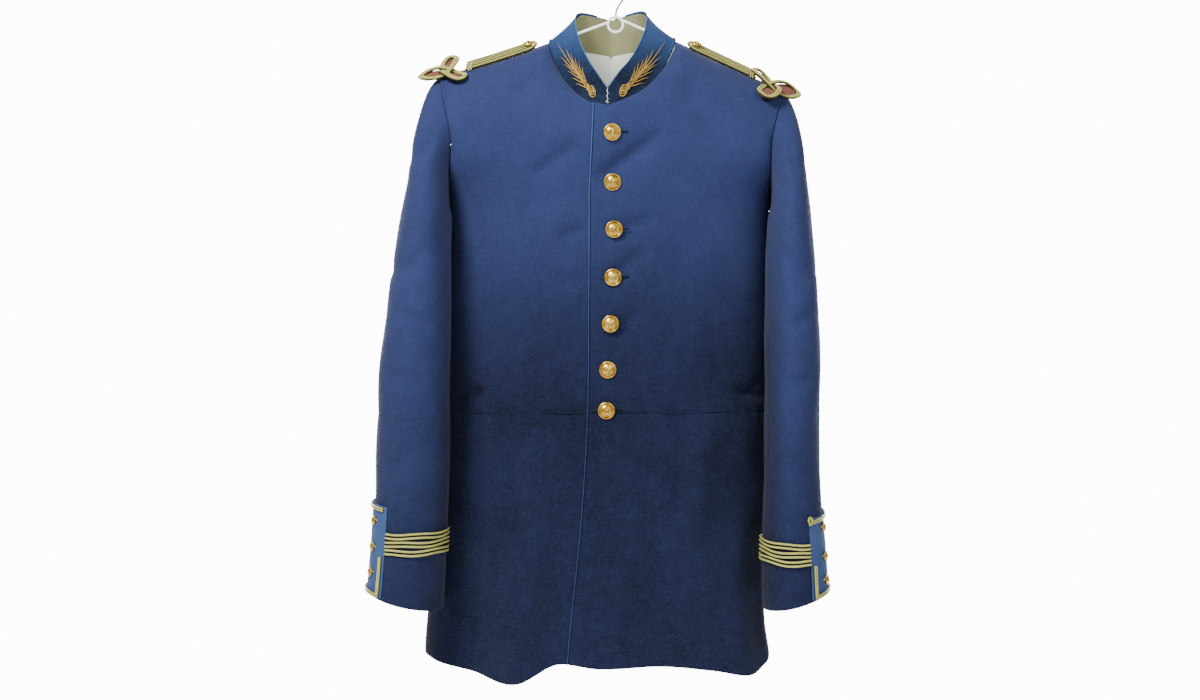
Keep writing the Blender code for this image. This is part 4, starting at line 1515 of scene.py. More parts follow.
@dataclass
class Cord:
    """A round or flattened cord or wire along a path in millimetres."""

    name: str
    path: Array
    diameter: float
    finish: Finish
    solid: bool = False
    closed: bool = False
    sides: int = 12
    radii: Array | None = None
    ups: Array | None = None
    flatness: float = 1.0

    def frames(self, path: Array) -> tuple[Array, Array]:
        """Two directions square to the path at each of its points.

        Args:
            path: the path's points.

        Returns:
            The way to the side and the way up, at each point.
        """
        if self.closed:
            ahead = unit(np.roll(path, -1, axis=0) - np.roll(path, 1, axis=0))
        else:
            ahead = unit(np.gradient(path, axis=0))
        if self.ups is not None:
            ups = self.ups
            if len(ups) < len(path):
                spare = (len(path) - len(ups)) // 2
                ups = np.concatenate((ups[:1],) * spare + (ups,) + (ups[-1:],) * spare)
            side = unit(np.cross(ahead, ups))
            return side, unit(np.cross(side, ahead))
        start = np.array((0.0, 0.0, 1.0)) if abs(ahead[0][2]) < 0.9 else np.array((1.0, 0.0, 0.0))
        normal = unit(np.cross(ahead[0], start))
        normals = []
        for way in ahead:
            normal = unit(normal - way * (normal @ way))
            normals.append(normal)
        normals = np.array(normals)
        across = np.cross(ahead, normals)
        if self.closed:
            last = unit(normals[-1] - ahead[0] * (normals[-1] @ ahead[0]))
            slip = math.atan2(last @ across[0], last @ normals[0])
            turn = -slip * np.linspace(0, 1, len(path))[:, None]
            normals, across = (
                normals * np.cos(turn) + across * np.sin(turn),
                across * np.cos(turn) - normals * np.sin(turn),
            )
        return normals, across

    def rings(self) -> Array:
        """The tube's points, by place round it and along it."""
        path = np.asarray(self.path, float)
        radii = np.full(len(path), self.diameter / 2) if self.radii is None else self.radii
        if self.closed:
            path_ahead = path
        else:
            first, last = unit(path[0] - path[1]), unit(path[-1] - path[-2])
            start = [path[0] + first * radii[0] * out for out in (0.9, 0.55)]
            end = [path[-1] + last * radii[-1] * out for out in (0.55, 0.9)]
            path_ahead = np.concatenate((start, path, end))
            near, far = radii[0], radii[-1]
            radii = np.concatenate(((near * 0.3, near * 0.8), radii, (far * 0.8, far * 0.3)))
        side, up = self.frames(path_ahead)
        angle = np.linspace(0, 2 * math.pi, self.sides + 1)[:, None, None]
        offset = np.cos(angle) * side + np.sin(angle) * up * self.flatness
        points = path_ahead + offset * radii[None, :, None]
        if self.closed:
            points = np.concatenate((points, points[:, :1]), axis=1)
        return points

    def mesh(self) -> bpy.types.Mesh:
        """The cord as one closed mesh, its UV the share round it and the metres along it."""
        points = self.rings()
        around = np.linspace(0.0, 1.0, points.shape[0])[:, None]
        along = arc_lengths(points, 1).mean(axis=0) * MM
        mesh = grid_mesh(self.name, points, np.stack(np.broadcast_arrays(around, along), axis=-1))
        maker = bmesh.new()
        maker.from_mesh(mesh)
        bmesh.ops.remove_doubles(maker, verts=maker.verts, dist=1e-7)
        rims = [edge for edge in maker.edges if edge.is_boundary]
        if rims:
            bmesh.ops.holes_fill(maker, edges=rims, sides=self.sides)
        bmesh.ops.recalc_face_normals(maker, faces=maker.faces)
        maker.to_mesh(mesh)
        maker.free()
        smooth(mesh)
        return mesh

    def build(self) -> None:
        """Make the cord as a piece of its own."""
        piece(self.name, self.mesh(), self.finish, self.solid)


def sewn(name: str, cords: Sequence[Cord], solid: bool = True) -> None:
    """Make one piece of several cords of the same finish.

    Args:
        name: the piece's name.
        cords: its cords.
        solid: whether it stands for the frame's solid of the same name.
    """
    maker = bmesh.new()
    for cord in cords:
        mesh = cord.mesh()
        maker.from_mesh(mesh)
        bpy.data.meshes.remove(mesh)
    piece(name, finished(maker, name), cords[0].finish, solid)


def gold(path: Array, thick: float, ups: Array, sides: int = 8, flatness: float = 1.0) -> Cord:
    """A length of gold cord whose painted bright top faces along its ups."""
    return Cord("gold", path, thick, Finish.BRAID, ups=ups, sides=sides, flatness=flatness)


def place_at_x(x: float, height: float) -> tuple[Array, Array]:
    """The place and rise on the fronts of a point seen at x and a height.

    Args:
        x: the point's x in millimetres.
        height: its height in millimetres.

    Returns:
        Its place and its rise.
    """
    if height <= UNDERARM_HEIGHT:
        rise = -(UNDERARM_HEIGHT - height) / (UNDERARM_HEIGHT - WAIST_HEIGHT)
        return place_of(x, height), np.array(rise)
    place, rise = np.array(0.0), np.array(0.5)
    for _ in range(30):
        here = front_point(place, rise)
        place = place + (x - here[0]) / 330.0
        rise = rise + (height - here[2]) / 120.0
    return place, rise


@dataclass
class Seams:
    """The seam allowances behind the armholes, the neck, the waist and the back."""

    thick: float = 4.4
    waist_thick: float = 2.2
    back_thick: float = 2.6

    def around_arm(self, side: Side) -> None:
        """Make the allowance of one armhole.

        Args:
            side: the wearer's side.
        """
        turn = np.linspace(0.0, 1.0, 160, endpoint=False)
        path = sided_point(ARMHOLE, side, turn) + np.array((-side * 2.4, 0.0, 0.0))
        name = f"armhole_seam_{side.word}"
        Cord(name, path, self.thick, Finish.WOOL, closed=True, sides=8).build()

    def around_neck(self, side: Side) -> None:
        """Make the allowance of one side of the neck, which ends before the pale lining.

        Args:
            side: the wearer's side.
        """
        neck = sided_point(NECKLINE, side, np.linspace(0.0, 0.74, 90))
        middle = np.array((-4.0, -10.0, 0.0))
        path = neck + unit((middle - neck) * (1.0, 1.0, 0.0)) * 1.6
        Cord(f"neck_seam_{side.word}", path, self.thick, Finish.COLLAR, sides=8).build()

    def build(self) -> None:
        """Make all of them."""
        for side in Side:
            self.around_arm(side)
            self.around_neck(side)
        place = np.linspace(-2.0, 2.0, 240, endpoint=False)
        waist = torso_point(place, np.full(240, WAIST_HEIGHT)) * (0.993, 0.985, 1.0)
        Cord("waist_seam", waist, self.waist_thick, Finish.WOOL, closed=True, sides=8).build()
        rise = np.linspace(0.97, -1.0, 90)
        fall = np.linspace(0.01, 0.99, 60)
        middle = (back_point(rise * 0, rise), skirt_point(fall * 0 + 2.0, fall))
        path = np.concatenate(middle) + np.array((0.0, -1.7, 0.0))
        Cord("back_seam", path, self.back_thick, Finish.WOOL, sides=8).build()


@dataclass
class Piping:
    """The light piping down the front edge, from the collar to the hem."""

    lift: float = 1.5
    thick: float = 1.15

    def build(self) -> None:
        """Make the piping."""
        rise = np.linspace(0.985, -1.0, 120)
        fall = np.linspace(0.02, 1.0, 70)
        centre = np.array(BODY_INSIDE)
        upper = lifted(front_point, edge_place(rise), rise, np.full(120, self.lift), centre)
        edge = edge_place_at(mix(WAIST_HEIGHT, HEM_MIDDLE, fall))
        lower = lifted(skirt_point, edge, fall, np.full(70, self.lift), np.array(SKIRT_INSIDE))
        path = np.concatenate((upper, lower)) + np.array((-self.lift, 0.0, 0.0))
        Cord("front_piping", path, self.thick, Finish.PIPING, solid=True).build()


def button_relief(x: Array, y: Array) -> Array:
    """A small ball with five tongues of flame, in shares of a button's radius.

    Args:
        x: sideways, in shares of the radius.
        y: upwards, in shares of the radius.

    Returns:
        The relief's height, from 0 to 1.
    """
    height = smooth_step(0.25, 0.17, np.hypot(x, y + 0.30))
    for tongue in range(-2, 3):
        lean = math.radians(24 * tongue)
        way = np.array((math.sin(lean), math.cos(lean))) * (0.56 - 0.07 * abs(tongue))
        spot = np.stack((x, y + 0.10), axis=-1)
        t = np.clip((spot @ way) / (way @ way), 0.0, 1.0)
        distance = np.linalg.norm(spot - t[..., None] * way, axis=-1)
        width = 0.115 * (1 - 0.6 * t)
        height = np.maximum(height, smooth_step(1.0, 0.5, distance / width) * 0.85)
    return height


@dataclass
class DressButton:
    """A domed gilt button with a rim and a raised ornament."""

    name: str
    diameter: float
    seat: Array
    normal: Array
    steps: int = 64
    relief_height: float = 0.13
    field_reach: float = 0.76
    field_height: float = 0.14
    profile: tuple[tuple[float, float], ...] = (
        (0.00, 0.46),
        (0.10, 0.455),
        (0.20, 0.44),
        (0.30, 0.415),
        (0.40, 0.38),
        (0.50, 0.335),
        (0.60, 0.275),
        (0.68, 0.215),
        (0.745, 0.125),
        (0.775, 0.070),
        (0.80, 0.10),
        (0.83, 0.20),
        (0.88, 0.235),
        (0.93, 0.225),
        (0.975, 0.18),
        (0.99, 0.12),
        (0.96, 0.05),
        (0.90, 0.02),
        (0.50, 0.01),
        (0.00, 0.01),
    )

    def turned(self) -> bmesh.types.BMesh:
        """The profile spun about its middle, in metres."""
        rows = np.array(self.profile)
        fine = np.empty((2 * len(rows) - 1, 2))
        fine[::2], fine[1::2] = rows, (rows[:-1] + rows[1:]) / 2
        maker = bmesh.new()
        reach = self.diameter / 2 * MM
        verts = [maker.verts.new((share * reach, 0.0, top * reach)) for share, top in fine]
        edges = [maker.edges.new(pair) for pair in zip(verts, verts[1:])]
        bmesh.ops.spin(
            maker,
            geom=verts + edges,
            cent=(0, 0, 0),
            axis=(0, 0, 1),
            angle=2 * math.pi,
            steps=self.steps,
            use_merge=True,
        )
        bmesh.ops.remove_doubles(maker, verts=maker.verts, dist=1e-7)
        bmesh.ops.recalc_face_normals(maker, faces=maker.faces)
        return maker

    def build(self) -> None:
        """Turn the button, raise its ornament and stand it on its seat."""
        maker = self.turned()
        radius = self.diameter / 2
        flat = np.array([vertex.co for vertex in maker.verts]) / (radius * MM)
        relief = button_relief(flat[:, 0], flat[:, 1]) * (flat[:, 2] > self.field_height)
        relief *= np.hypot(flat[:, 0], flat[:, 1]) < self.field_reach
        ahead = unit(np.asarray(self.normal, float))
        up = np.array((0.0, 0.0, 1.0) if abs(ahead[2]) < 0.9 else (0.0, 1.0, 0.0))
        level = unit(up - ahead * (up @ ahead))
        side = np.cross(level, ahead)
        for vertex, raised in zip(maker.verts, relief):
            x, y, z = np.array(vertex.co) / MM
            z += raised * self.relief_height * radius
            vertex.co = Vector((np.array(self.seat) + side * x + level * y + ahead * z) * MM)
        mesh = finished(maker, self.name)
        smooth(mesh)
        piece(self.name, mesh, Finish.GILT, True)


# height, x of each front button
FRONT_BUTTONS = (
    (-193.8, -2.2),
    (-250.5, -1.2),
    (-305.9, 0.6),
    (-361.0, -0.6),
    (-414.6, -3.6),
    (-468.0, -6.6),
    (-516.0, -8.2),
)


def front_seat(x: float, height: float, lift: float) -> tuple[Array, Array]:
    """A place on the upper front and the cloth's normal there.

    Args:
        x: the point's x in millimetres.
        height: its height in millimetres.
        lift: how far the seat stands off the lower front.

    Returns:
        The seat and the normal.
    """
    place, rise = place_at_x(x, height)
    inside = np.array((-5.0, 0.0, height - 10))
    return laid(front_point, place, rise, lift, inside)


@dataclass
class Fastening:
    """The seven front buttons, and the worked slits beside them."""

    diameter: float = 20.5
    stand: float = 0.6
    stitch: float = 0.9
    slit: tuple[float, float] = (8.0, 18.0)

    def buttons(self) -> None:
        """Make the buttons."""
        for number, (height, x) in enumerate(FRONT_BUTTONS, 1):
            seat, normal = front_seat(x, height, OVERLAP_RISE + self.stand)
            DressButton(f"front_button_{number}", self.diameter, seat, normal).build()

    def holes(self) -> None:
        """Make the slits, each a cord above and one below."""
        for number, (height, x) in enumerate(FRONT_BUTTONS, 1):
            cords = []
            for above in (0.95, -0.15):
                spots = [
                    front_seat(x + reach, height + above, OVERLAP_RISE + 0.1)[0]
                    for reach in np.linspace(*self.slit, 10)
                ]
                cords.append(Cord("stitches", np.array(spots), self.stitch, Finish.THREAD, sides=8))
            sewn(f"buttonhole_{number}", cords, solid=False)

    def build(self) -> None:
        """Make the buttons and then the slits."""
        self.buttons()
        self.holes()


CUFF_BUTTONS = {Side.RIGHT: (-642, -672, -701), Side.LEFT: (-650, -683, -710)}
CUFF_BRAIDS = {Side.RIGHT: (-656.0, -665.5, -675.0), Side.LEFT: (-665.5, -675.0, -684.5)}
CUFF_PATCH_TOP = {Side.RIGHT: (-616, -626), Side.LEFT: (-626, -640)}
CUFF_PATCH_TURNS = {Side.RIGHT: (-0.095, 0.160), Side.LEFT: (-0.095, 0.182)}
CUFF_BUTTON_TURN = 0.078
BRAID_HALF = 2.25
TRIM_INSET = 0.018
BRAID_DIP = {Side.RIGHT: 3.0, Side.LEFT: 5.5}


@dataclass
class Cuff:
    """Velvet patch, three braids, a gold edge and three buttons on a sleeve."""

    side: Side
    patch_lift: float = 2.1
    braid_cord: float = 3.0
    braid_lift: float = 2.0
    trim_cord: float = 2.6
    trim_lift: float = 3.4
    trim_apart: float = 1.25
    loop_cord: float = 1.8
    loop_lift: float = 2.6
    curl_cord: float = 2.2
    curl_lift: float = 4.2
    button: float = 12.4
    button_lift: float = 2.7

    @property
    def inside(self) -> Point:
        """A point within the cuff."""
        return (self.side * 230.0, -60.0, -690.0)

    def on(self, turn: Array, height: Array, lift: float) -> tuple[Array, Array]:
        """Points raised from the sleeve.

        Args:
            turn: turns round the sleeve.
            height: their heights in millimetres.
            lift: how far they stand off the cloth.

        Returns:
            The points and unit vectors away from the cloth.
        """
        turn, height = np.broadcast_arrays(np.asarray(turn, float), np.asarray(height, float))
        inside = stacked(np.full_like(turn, self.side * 230.0), np.full_like(turn, -60.0), height)
        return laid(partial(sleeve_ring, self.side), turn, height, lift, inside)

    def patch_top(self, turn: Array) -> Array:
        """The height of the patch's slanted top edge.

        Args:
            turn: turns round the sleeve.

        Returns:
            Heights in millimetres.
        """
        start, end = CUFF_PATCH_TURNS[self.side]
        outer, inner = CUFF_PATCH_TOP[self.side]
        return mix(outer, inner, (turn - start) / (end - start))

    def patch(self) -> None:
        """Make the velvet patch."""
        start, end = CUFF_PATCH_TURNS[self.side]
        turn, share = np.meshgrid(spread(start, end, 60), spread(0.0, 1.0, 80), indexing="ij")
        height = mix(self.patch_top(turn), cuff_hem(turn) + 3.0, share)
        points, _ = self.on(turn, height, self.patch_lift)
        name = f"cuff_patch_{self.side.word}"
        Sheet(name, points, self.inside, VELVET_WALL, Finish.CUFF).build()

    def braid(self, number: int, height: float) -> None:
        """Make one braid of two cords, which starts and ends at the patch.

        Args:
            number: 1 for the highest of the three.
            height: where it lies, in millimetres.
        """
        start, end = CUFF_PATCH_TURNS[self.side]
        turn = np.linspace(end + 0.004, start + 0.996, 150)
        sag = BRAID_DIP[self.side] * np.maximum(np.sin(2 * math.pi * turn), 0.0) ** 1.5
        sag += 0.7 * np.sin(turn * 31 + number * 1.7)
        cords = []
        for above in (-BRAID_HALF, BRAID_HALF):
            path, ups = self.on(turn, height - sag + above, self.braid_lift)
            cords.append(gold(path, self.braid_cord, ups, 10, 0.9))
        sewn(f"cuff_braid_{number}_{self.side.word}", cords)

    def trim(self) -> None:
        """Make the gold edging of the patch, two cords side by side."""
        start, end = CUFF_PATCH_TURNS[self.side]
        start, end = start + TRIM_INSET, end - TRIM_INSET
        top = np.linspace(end, start, 40)
        route = [(turn, float(self.patch_top(turn)) - 4.0) for turn in top]
        route += [(start, height) for height in np.linspace(-640, -715, 16)]
        route += [(turn, float(cuff_hem(turn)) + 5.0) for turn in top[::-1]]
        last = CUFF_BRAIDS[self.side][2] - 9.0
        route += [(end, height) for height in np.linspace(-724, last, 12)]
        middle, ups = self.on(*np.array(route).T, self.trim_lift)
        beside = unit(np.cross(np.gradient(middle, axis=0), ups))
        apart = self.trim_apart
        cords = [gold(middle + beside * hand, self.trim_cord, ups) for hand in (-apart, apart)]
        sewn(f"cuff_trim_{self.side.word}", cords)

    def loops(self) -> None:
        """Make the small gold loops that show beside the buttons."""
        turn = np.linspace(CUFF_BUTTON_TURN + 0.008, CUFF_BUTTON_TURN + 0.032, 8)
        bow = 0.8 * np.sin(np.linspace(0, math.pi, 8))
        cords = []
        for height in CUFF_BUTTONS[self.side]:
            path, ups = self.on(turn, height + bow, self.loop_lift)
            cords.append(gold(path, self.loop_cord, ups))
        sewn(f"cuff_loops_{self.side.word}", cords, solid=False)

    def curl(self) -> None:
        """Make the loose end of the trim, curled up at the patch's top corner."""
        end = CUFF_PATCH_TURNS[self.side][1]
        angle = np.linspace(0.0, 3.6 * math.pi, 60)
        reach = mix(1.4, 5.0, np.linspace(0, 1, 60))
        turn = end + 0.004 + reach * np.cos(angle) / 330
        height = float(self.patch_top(np.array(end))) - 1.0 + reach * np.sin(angle)
        path, ups = self.on(turn, height, self.curl_lift)
        sewn(f"cuff_curl_{self.side.word}", [gold(path, self.curl_cord, ups)], solid=False)

    def build(self) -> None:
        """Make everything on this cuff."""
        self.patch()
        for number, height in enumerate(CUFF_BRAIDS[self.side], 1):
            self.braid(number, height)
        self.trim()
        self.loops()
        if self.side is Side.LEFT:
            self.curl()
        for number, height in enumerate(CUFF_BUTTONS[self.side], 1):
            seat, normal = self.on(CUFF_BUTTON_TURN, height, self.button_lift)
            name = f"cuff_button_{number}_{self.side.word}"
            DressButton(name, self.button, seat, normal, steps=40).build()


# the knot's centre, the way its outer loop points and the way its back loops point
KNOTS = {
    Side.RIGHT: ((-200.0, -17.0, -112.5), (-29.6, -4.5, -8.5), (-6.9, 26.0, 14.2)),
    Side.LEFT: ((190.0, -26.0, -132.0), (35.7, 12.5, -8.5), (-9.8, 33.8, 15.6)),
}
# how far the loops at the strap and the outer loop turn to the front, in degrees
KNOT_TILTS = {Side.RIGHT: (8.0, -12.0), Side.LEFT: (16.0, 14.0)}
KNOT_REACH = {Side.RIGHT: 31.0, Side.LEFT: 34.0}
KNOT_WIDE = 0.418
KNOT_LONG = 0.582
KNOT_LIFT = 3.0
SHOULDER_BUTTON_AIM = {Side.RIGHT: (-0.16, -0.45, 0.88), Side.LEFT: (0.22, -0.45, 0.88)}


@dataclass
class Shoulder:
    """A strap of four gold cords, its button and its knot."""

    side: Side
    width: float = 22.0
    ahead: float = 13.0
    strap_cord: float = 4.3
    strap_lift: float = 2.2
    strap_step: float = 1.62
    strap_ends: tuple[float, float] = (0.165, 0.745)
    wrap_cord: float = 2.8
    knot_cord: float = 3.5
    knot_apart: float = 1.6
    felt_drop: float = 1.6
    wraps: tuple[float, float] = (0.700, 0.722)
    button: float = 14.0
    button_lift: float = 7.4

    def seam(self, along: Array, forward: Array) -> Array:
        """A point by its share along the shoulder seam and its distance before it.

        Args:
            along: shares along the shoulder seam.
            forward: millimetres before it, below 0 behind it.

        Returns:
            Points in millimetres.
        """
        share = mix(NECK_SHARE, 1.0, along)
        found = []
        for back in (True, False):
            high = yoke_point(self.side, back, share, np.ones_like(share))
            low = yoke_point(self.side, back, share, np.full_like(share, 0.9))
            reach = np.maximum(np.linalg.norm(high - low, axis=-1), 1.0)
            rise = 1 - 0.1 * np.abs(forward) / reach
            found.append(yoke_point(self.side, back, share, rise))
        return np.where((forward < 0)[..., None], found[0], found[1])

    def on(self, along: Array, across: Array, lift: float) -> tuple[Array, Array]:
        """Points over the strap's bed and the way up there.

        Args:
            along: shares along the shoulder seam.
            across: millimetres before the middle of the strap.
            lift: height over the cloth.

        Returns:
            The points and unit vectors away from the cloth.
        """
        along, across = np.broadcast_arrays(np.asarray(along, float), np.asarray(across, float))
        below = np.array((self.side * 120.0, 4.0, -400.0))

        def bed(a: Array, b: Array) -> Array:
            return self.seam(a, self.ahead + b * self.width)

        return laid(bed, along, across / self.width, lift, below)

    def strap(self) -> None:
        """Make four cords side by side, the ones behind higher, with two turns round them."""
        cords = []
        button_end, knot_end = self.strap_ends
        straight = np.linspace(knot_end, button_end, 50)
        angle = np.linspace(0.0, math.pi, 22)[1:-1]
        for number in (1.5, 0.5):
            reach = number * self.width / 4
            along = (straight, button_end - np.sin(angle) * reach * 0.0075, straight[::-1])
            across = (straight * 0 + reach, np.cos(angle) * reach, straight * 0 - reach)
            across = np.concatenate(across)
            path, ups = self.on(np.concatenate(along), across, self.strap_lift)
            path = path + ups * (self.strap_step * (1.5 - across * 4 / self.width))[:, None]
            cords.append(gold(path, self.strap_cord, ups, 10, 0.95))
        for place in self.wraps:
            ahead = np.linspace(-0.56, 0.56, 30)
            rise = 3.2 * np.sqrt(1 - (ahead / 0.58) ** 2)
            path, ups = self.on(np.full(30, place), ahead * self.width, 0.0)
            path = path + ups * (rise + 1.0 + 3.4 * (0.5 - ahead))[:, None]
            cords.append(gold(path, self.wrap_cord, ups))
        sewn(f"shoulder_strap_{self.side.word}", cords)

    def knot(self) -> None:
        """Make a trefoil of two cords that pass over and under each other, on felt."""
        centre, out, back = (np.array(part) for part in KNOTS[self.side])
        out = unit(out)
        back = unit(back - out * (back @ out))
        up = np.cross(out, back)
        up = up if up[2] > 0 else -up
        reach = KNOT_REACH[self.side]
        t = np.linspace(0, 2 * math.pi, 160, endpoint=False)[:, None]
        along = (KNOT_LONG * np.cos(2 * t) - KNOT_WIDE * np.cos(t)) * reach
        across = (KNOT_LONG * np.sin(2 * t) + KNOT_WIDE * np.sin(t)) * reach
        rise = -(np.sin(3 * t) + 0.5 * np.sin(6 * t)) * KNOT_LIFT
        middle = centre + self.tilted(along, across, rise, out, back, up)
        ahead = unit(np.roll(middle, -1, axis=0) - np.roll(middle, 1, axis=0))
        beside = unit(np.cross(ahead, up))
        ups = np.tile(up, (len(middle), 1))
        apart = self.knot_apart
        cords = [gold(middle + beside * hand, self.knot_cord, ups, 12) for hand in (-apart, apart)]
        for cord in cords:
            cord.closed = True
        self.backing(centre - up * self.felt_drop, out, back, up)
        sewn(f"shoulder_knot_{self.side.word}", cords)

    def tilted(
        self, along: Array, across: Array, rise: Array, out: Array, back: Array, up: Array
    ) -> Array:
        """Offsets in the knot's plane, which turns to the front more at one end.

        Args:
            along: millimetres towards the outer loop.
            across: millimetres towards the loops beside it.
            rise: millimetres away from the cloth.
            out: the way of the outer loop.
            back: the way of the loops beside it.
            up: the way away from the cloth.

        Returns:
            Offsets from the knot's centre.
        """
        inner, outer = (math.radians(tilt) for tilt in KNOT_TILTS[self.side])
        tilt = mix(inner, outer, smooth_step(-4.0, 14.0, along))
        level = back * np.cos(tilt) + up * np.sin(tilt)
        over = up * np.cos(tilt) - back * np.sin(tilt)
        return out * along + level * across + over * rise

    def backing(self, centre: Array, out: Array, back: Array, up: Array) -> None:
        """Make the felt that shows through the knot's loops.

        Args:
            centre: its middle, under the knot's.
            out: the way its outer loop points.
            back: the way the loops beside it point.
            up: the way away from the cloth.
        """
        angle, share = np.meshgrid(
            np.linspace(0, 2 * math.pi, 97), np.linspace(0.02, 1, 8), indexing="ij"
        )
        reach = KNOT_REACH[self.side] * (0.64 + 0.36 * np.cos(3 * angle)) * share
        along, across = ((reach * part(angle))[..., None] for part in (np.cos, np.sin))
        height = (3.0 * np.sin(3 * angle) * share)[..., None]
        points = centre + self.tilted(along, across, height, out, back, up)
        below = tuple(centre - np.array((0.0, 0.0, 60.0)))
        name = f"knot_backing_{self.side.word}"
        Sheet(name, points, below, FELT_WALL, Finish.FELT, solid=False, trim=0.0, rounding=0.0).build()

    def build(self) -> None:
        """Make the strap, the knot and the button."""
        self.strap()
        self.knot()
        seat, _ = self.on(self.strap_ends[0], 0.0, self.button_lift)
        name = f"shoulder_button_{self.side.word}"
        DressButton(name, self.button, seat, SHOULDER_BUTTON_AIM[self.side], steps=40).build()


@dataclass
class Emblem:
    """A flaming grenade of gold thread on one end of the collar."""

    side: Side
    start: tuple[float, float] = (0.095, 0.27)
    end: tuple[float, float] = (0.610, 0.31)
    bow: float = 0.15
    length: float = 100.0
    ball_share: float = 0.066
    bars: tuple[float, float] = (0.145, 0.165)
    flame_share: float = 0.17
    flame_width: float = 12.0

    def on(self, share: Array, across: Array, lift: float) -> tuple[Array, Array]:
        """Points laid on the collar.

        Args:
            share: shares along the bowed emblem.
            across: millimetres across it.
            lift: how far they stand off the collar.

        Returns:
            The points and unit vectors away from the collar.
        """
        share, across = np.broadcast_arrays(np.asarray(share, float), np.asarray(across, float))
        surface = partial(collar_point, self.side)
        place = mix(self.start[0], self.end[0], share)
        rise = mix(self.start[1], self.end[1], share) + self.bow * np.sin(math.pi * share)
        foot, top = surface(place, rise * 0), surface(place, rise * 0 + 1)
        rise = rise + across / np.linalg.norm(top - foot, axis=-1)
        return laid(surface, place, rise, lift, np.array(COLLAR_INSIDE))

    def strand(self, share: Array, across: Array, radii: Array, lift: float) -> Cord:
        """One strand of gold thread laid on the collar.

        Args:
            share: shares along the emblem.
            across: millimetres across it.
            radii: its radius at each point.
            lift: how far it stands off the collar.

        Returns:
            The strand, not yet a mesh.
        """
        path, ups = self.on(share, across, lift)
        look = {"radii": radii, "ups": ups, "flatness": 0.75, "sides": 8}
        return Cord("strand", path, 2.0, Finish.EMBROIDERY, **look)

    def ball(self) -> list[Cord]:
        """A padded ball of three rings, and two bars above it."""
        angle = np.linspace(0, 2 * math.pi, 33)
        made = []
        for reach, radius, lift in ((6.2, 0.85, 1.3), (3.6, 0.75, 1.5), (1.0, 0.9, 1.6)):
            share = self.ball_share + np.cos(angle) * reach / self.length
            made.append(self.strand(share, np.sin(angle) * reach, np.full(33, radius), lift))
        for share in self.bars:
            across = np.linspace(-3.4, 3.4, 12)
            made.append(self.strand(np.full(12, share), across, np.full(12, 0.85), 1.7))
        return made

    def flames(self) -> list[Cord]:
        """Five tongues on each side of a middle line, and three up the middle."""
        made = []
        t = np.linspace(0, 1, 24)
        taper = 0.22 + 0.95 * np.sin(math.pi * np.clip(t * 0.86 + 0.16, 0, 1)) ** 0.8
        for hand in (-1, 1):
            for number in range(5):
                start = self.flame_share + 0.090 * number
                end = start + 0.25 + 0.010 * number
                wide = self.flame_width * (1 - max(end - 0.48, 0.0) * 1.35)
                bend = 0.9 + (wide - 0.9) * t**1.15 + 0.6 * np.sin(t * 6.0)
                lift = 1.0 + 0.14 * number
                made.append(self.strand(mix(start, end, t), hand * bend, taper * 0.66, lift))
        for across, end in ((-2.6, 0.70), (2.6, 0.76), (0.0, 1.0)):
            bend = across * (1 - t) + 0.9 * np.sin(t * 5.0) * (1 - t)
            made.append(self.strand(mix(self.flame_share, end, t), bend, taper * 0.68, 1.9))
        return made

    def build(self) -> None:
        """Make the ball and the flames as one piece."""
        sewn(f"collar_emblem_{self.side.word}", self.ball() + self.flames())


@dataclass
class CollarJoin:
    """The collar's hook, the thread up its join and the piping on its top edge."""

    hook: float = 1.5
    thread: float = 0.5
    facing: float = 3.6
    piping: float = 1.4

    def hooked(self) -> None:
        """Make the hook that closes the collar at its foot."""
        low = sided_point(NECKLINE, Side.LEFT, 0.0)
        steps = (
            (-1.4, -1.8, 4.0),
            (-1.2, -2.3, 3.0),
            (0.0, -2.6, 2.4),
            (1.2, -2.4, 3.1),
            (1.4, -1.8, 4.2),
        )
        path = smooth_path([low + np.array(step) for step in steps], 10)
        Cord("collar_hook", path, self.hook, Finish.STEEL, solid=True).build()

    def join(self) -> None:
        """Make the white thread that shows up the join, and the dark facing behind it."""
        rise = np.linspace(0.10, 0.94, 40)
        left, right = (collar_point(side, rise * 0, rise) for side in (Side.LEFT, Side.RIGHT))
        middle = (left + right) / 2
        wander = np.stack((0.5 * np.sin(rise * 21), rise * 0 - 0.7, rise * 0), axis=-1)
        behind = middle + np.array((0.0, 2.4, 0.0))
        Cord("join_facing", behind, self.facing, Finish.COLLAR, sides=8).build()
        Cord("join_thread", middle + wander, self.thread, Finish.COATING, sides=6).build()

    def edges(self) -> None:
        """Make the light piping along the collar's top edge."""
        share = np.linspace(0.004, 0.93, 90)
        for side in Side:
            path = collar_point(side, share, np.full(90, 1.0)) + np.array((0.0, 0.0, 0.2))
            Cord(f"collar_edge_{side.word}", path, self.piping, Finish.PIPING, sides=8).build()

    def build(self) -> None:
        """Make all of them."""
        self.hooked()
        self.join()
        self.edges()


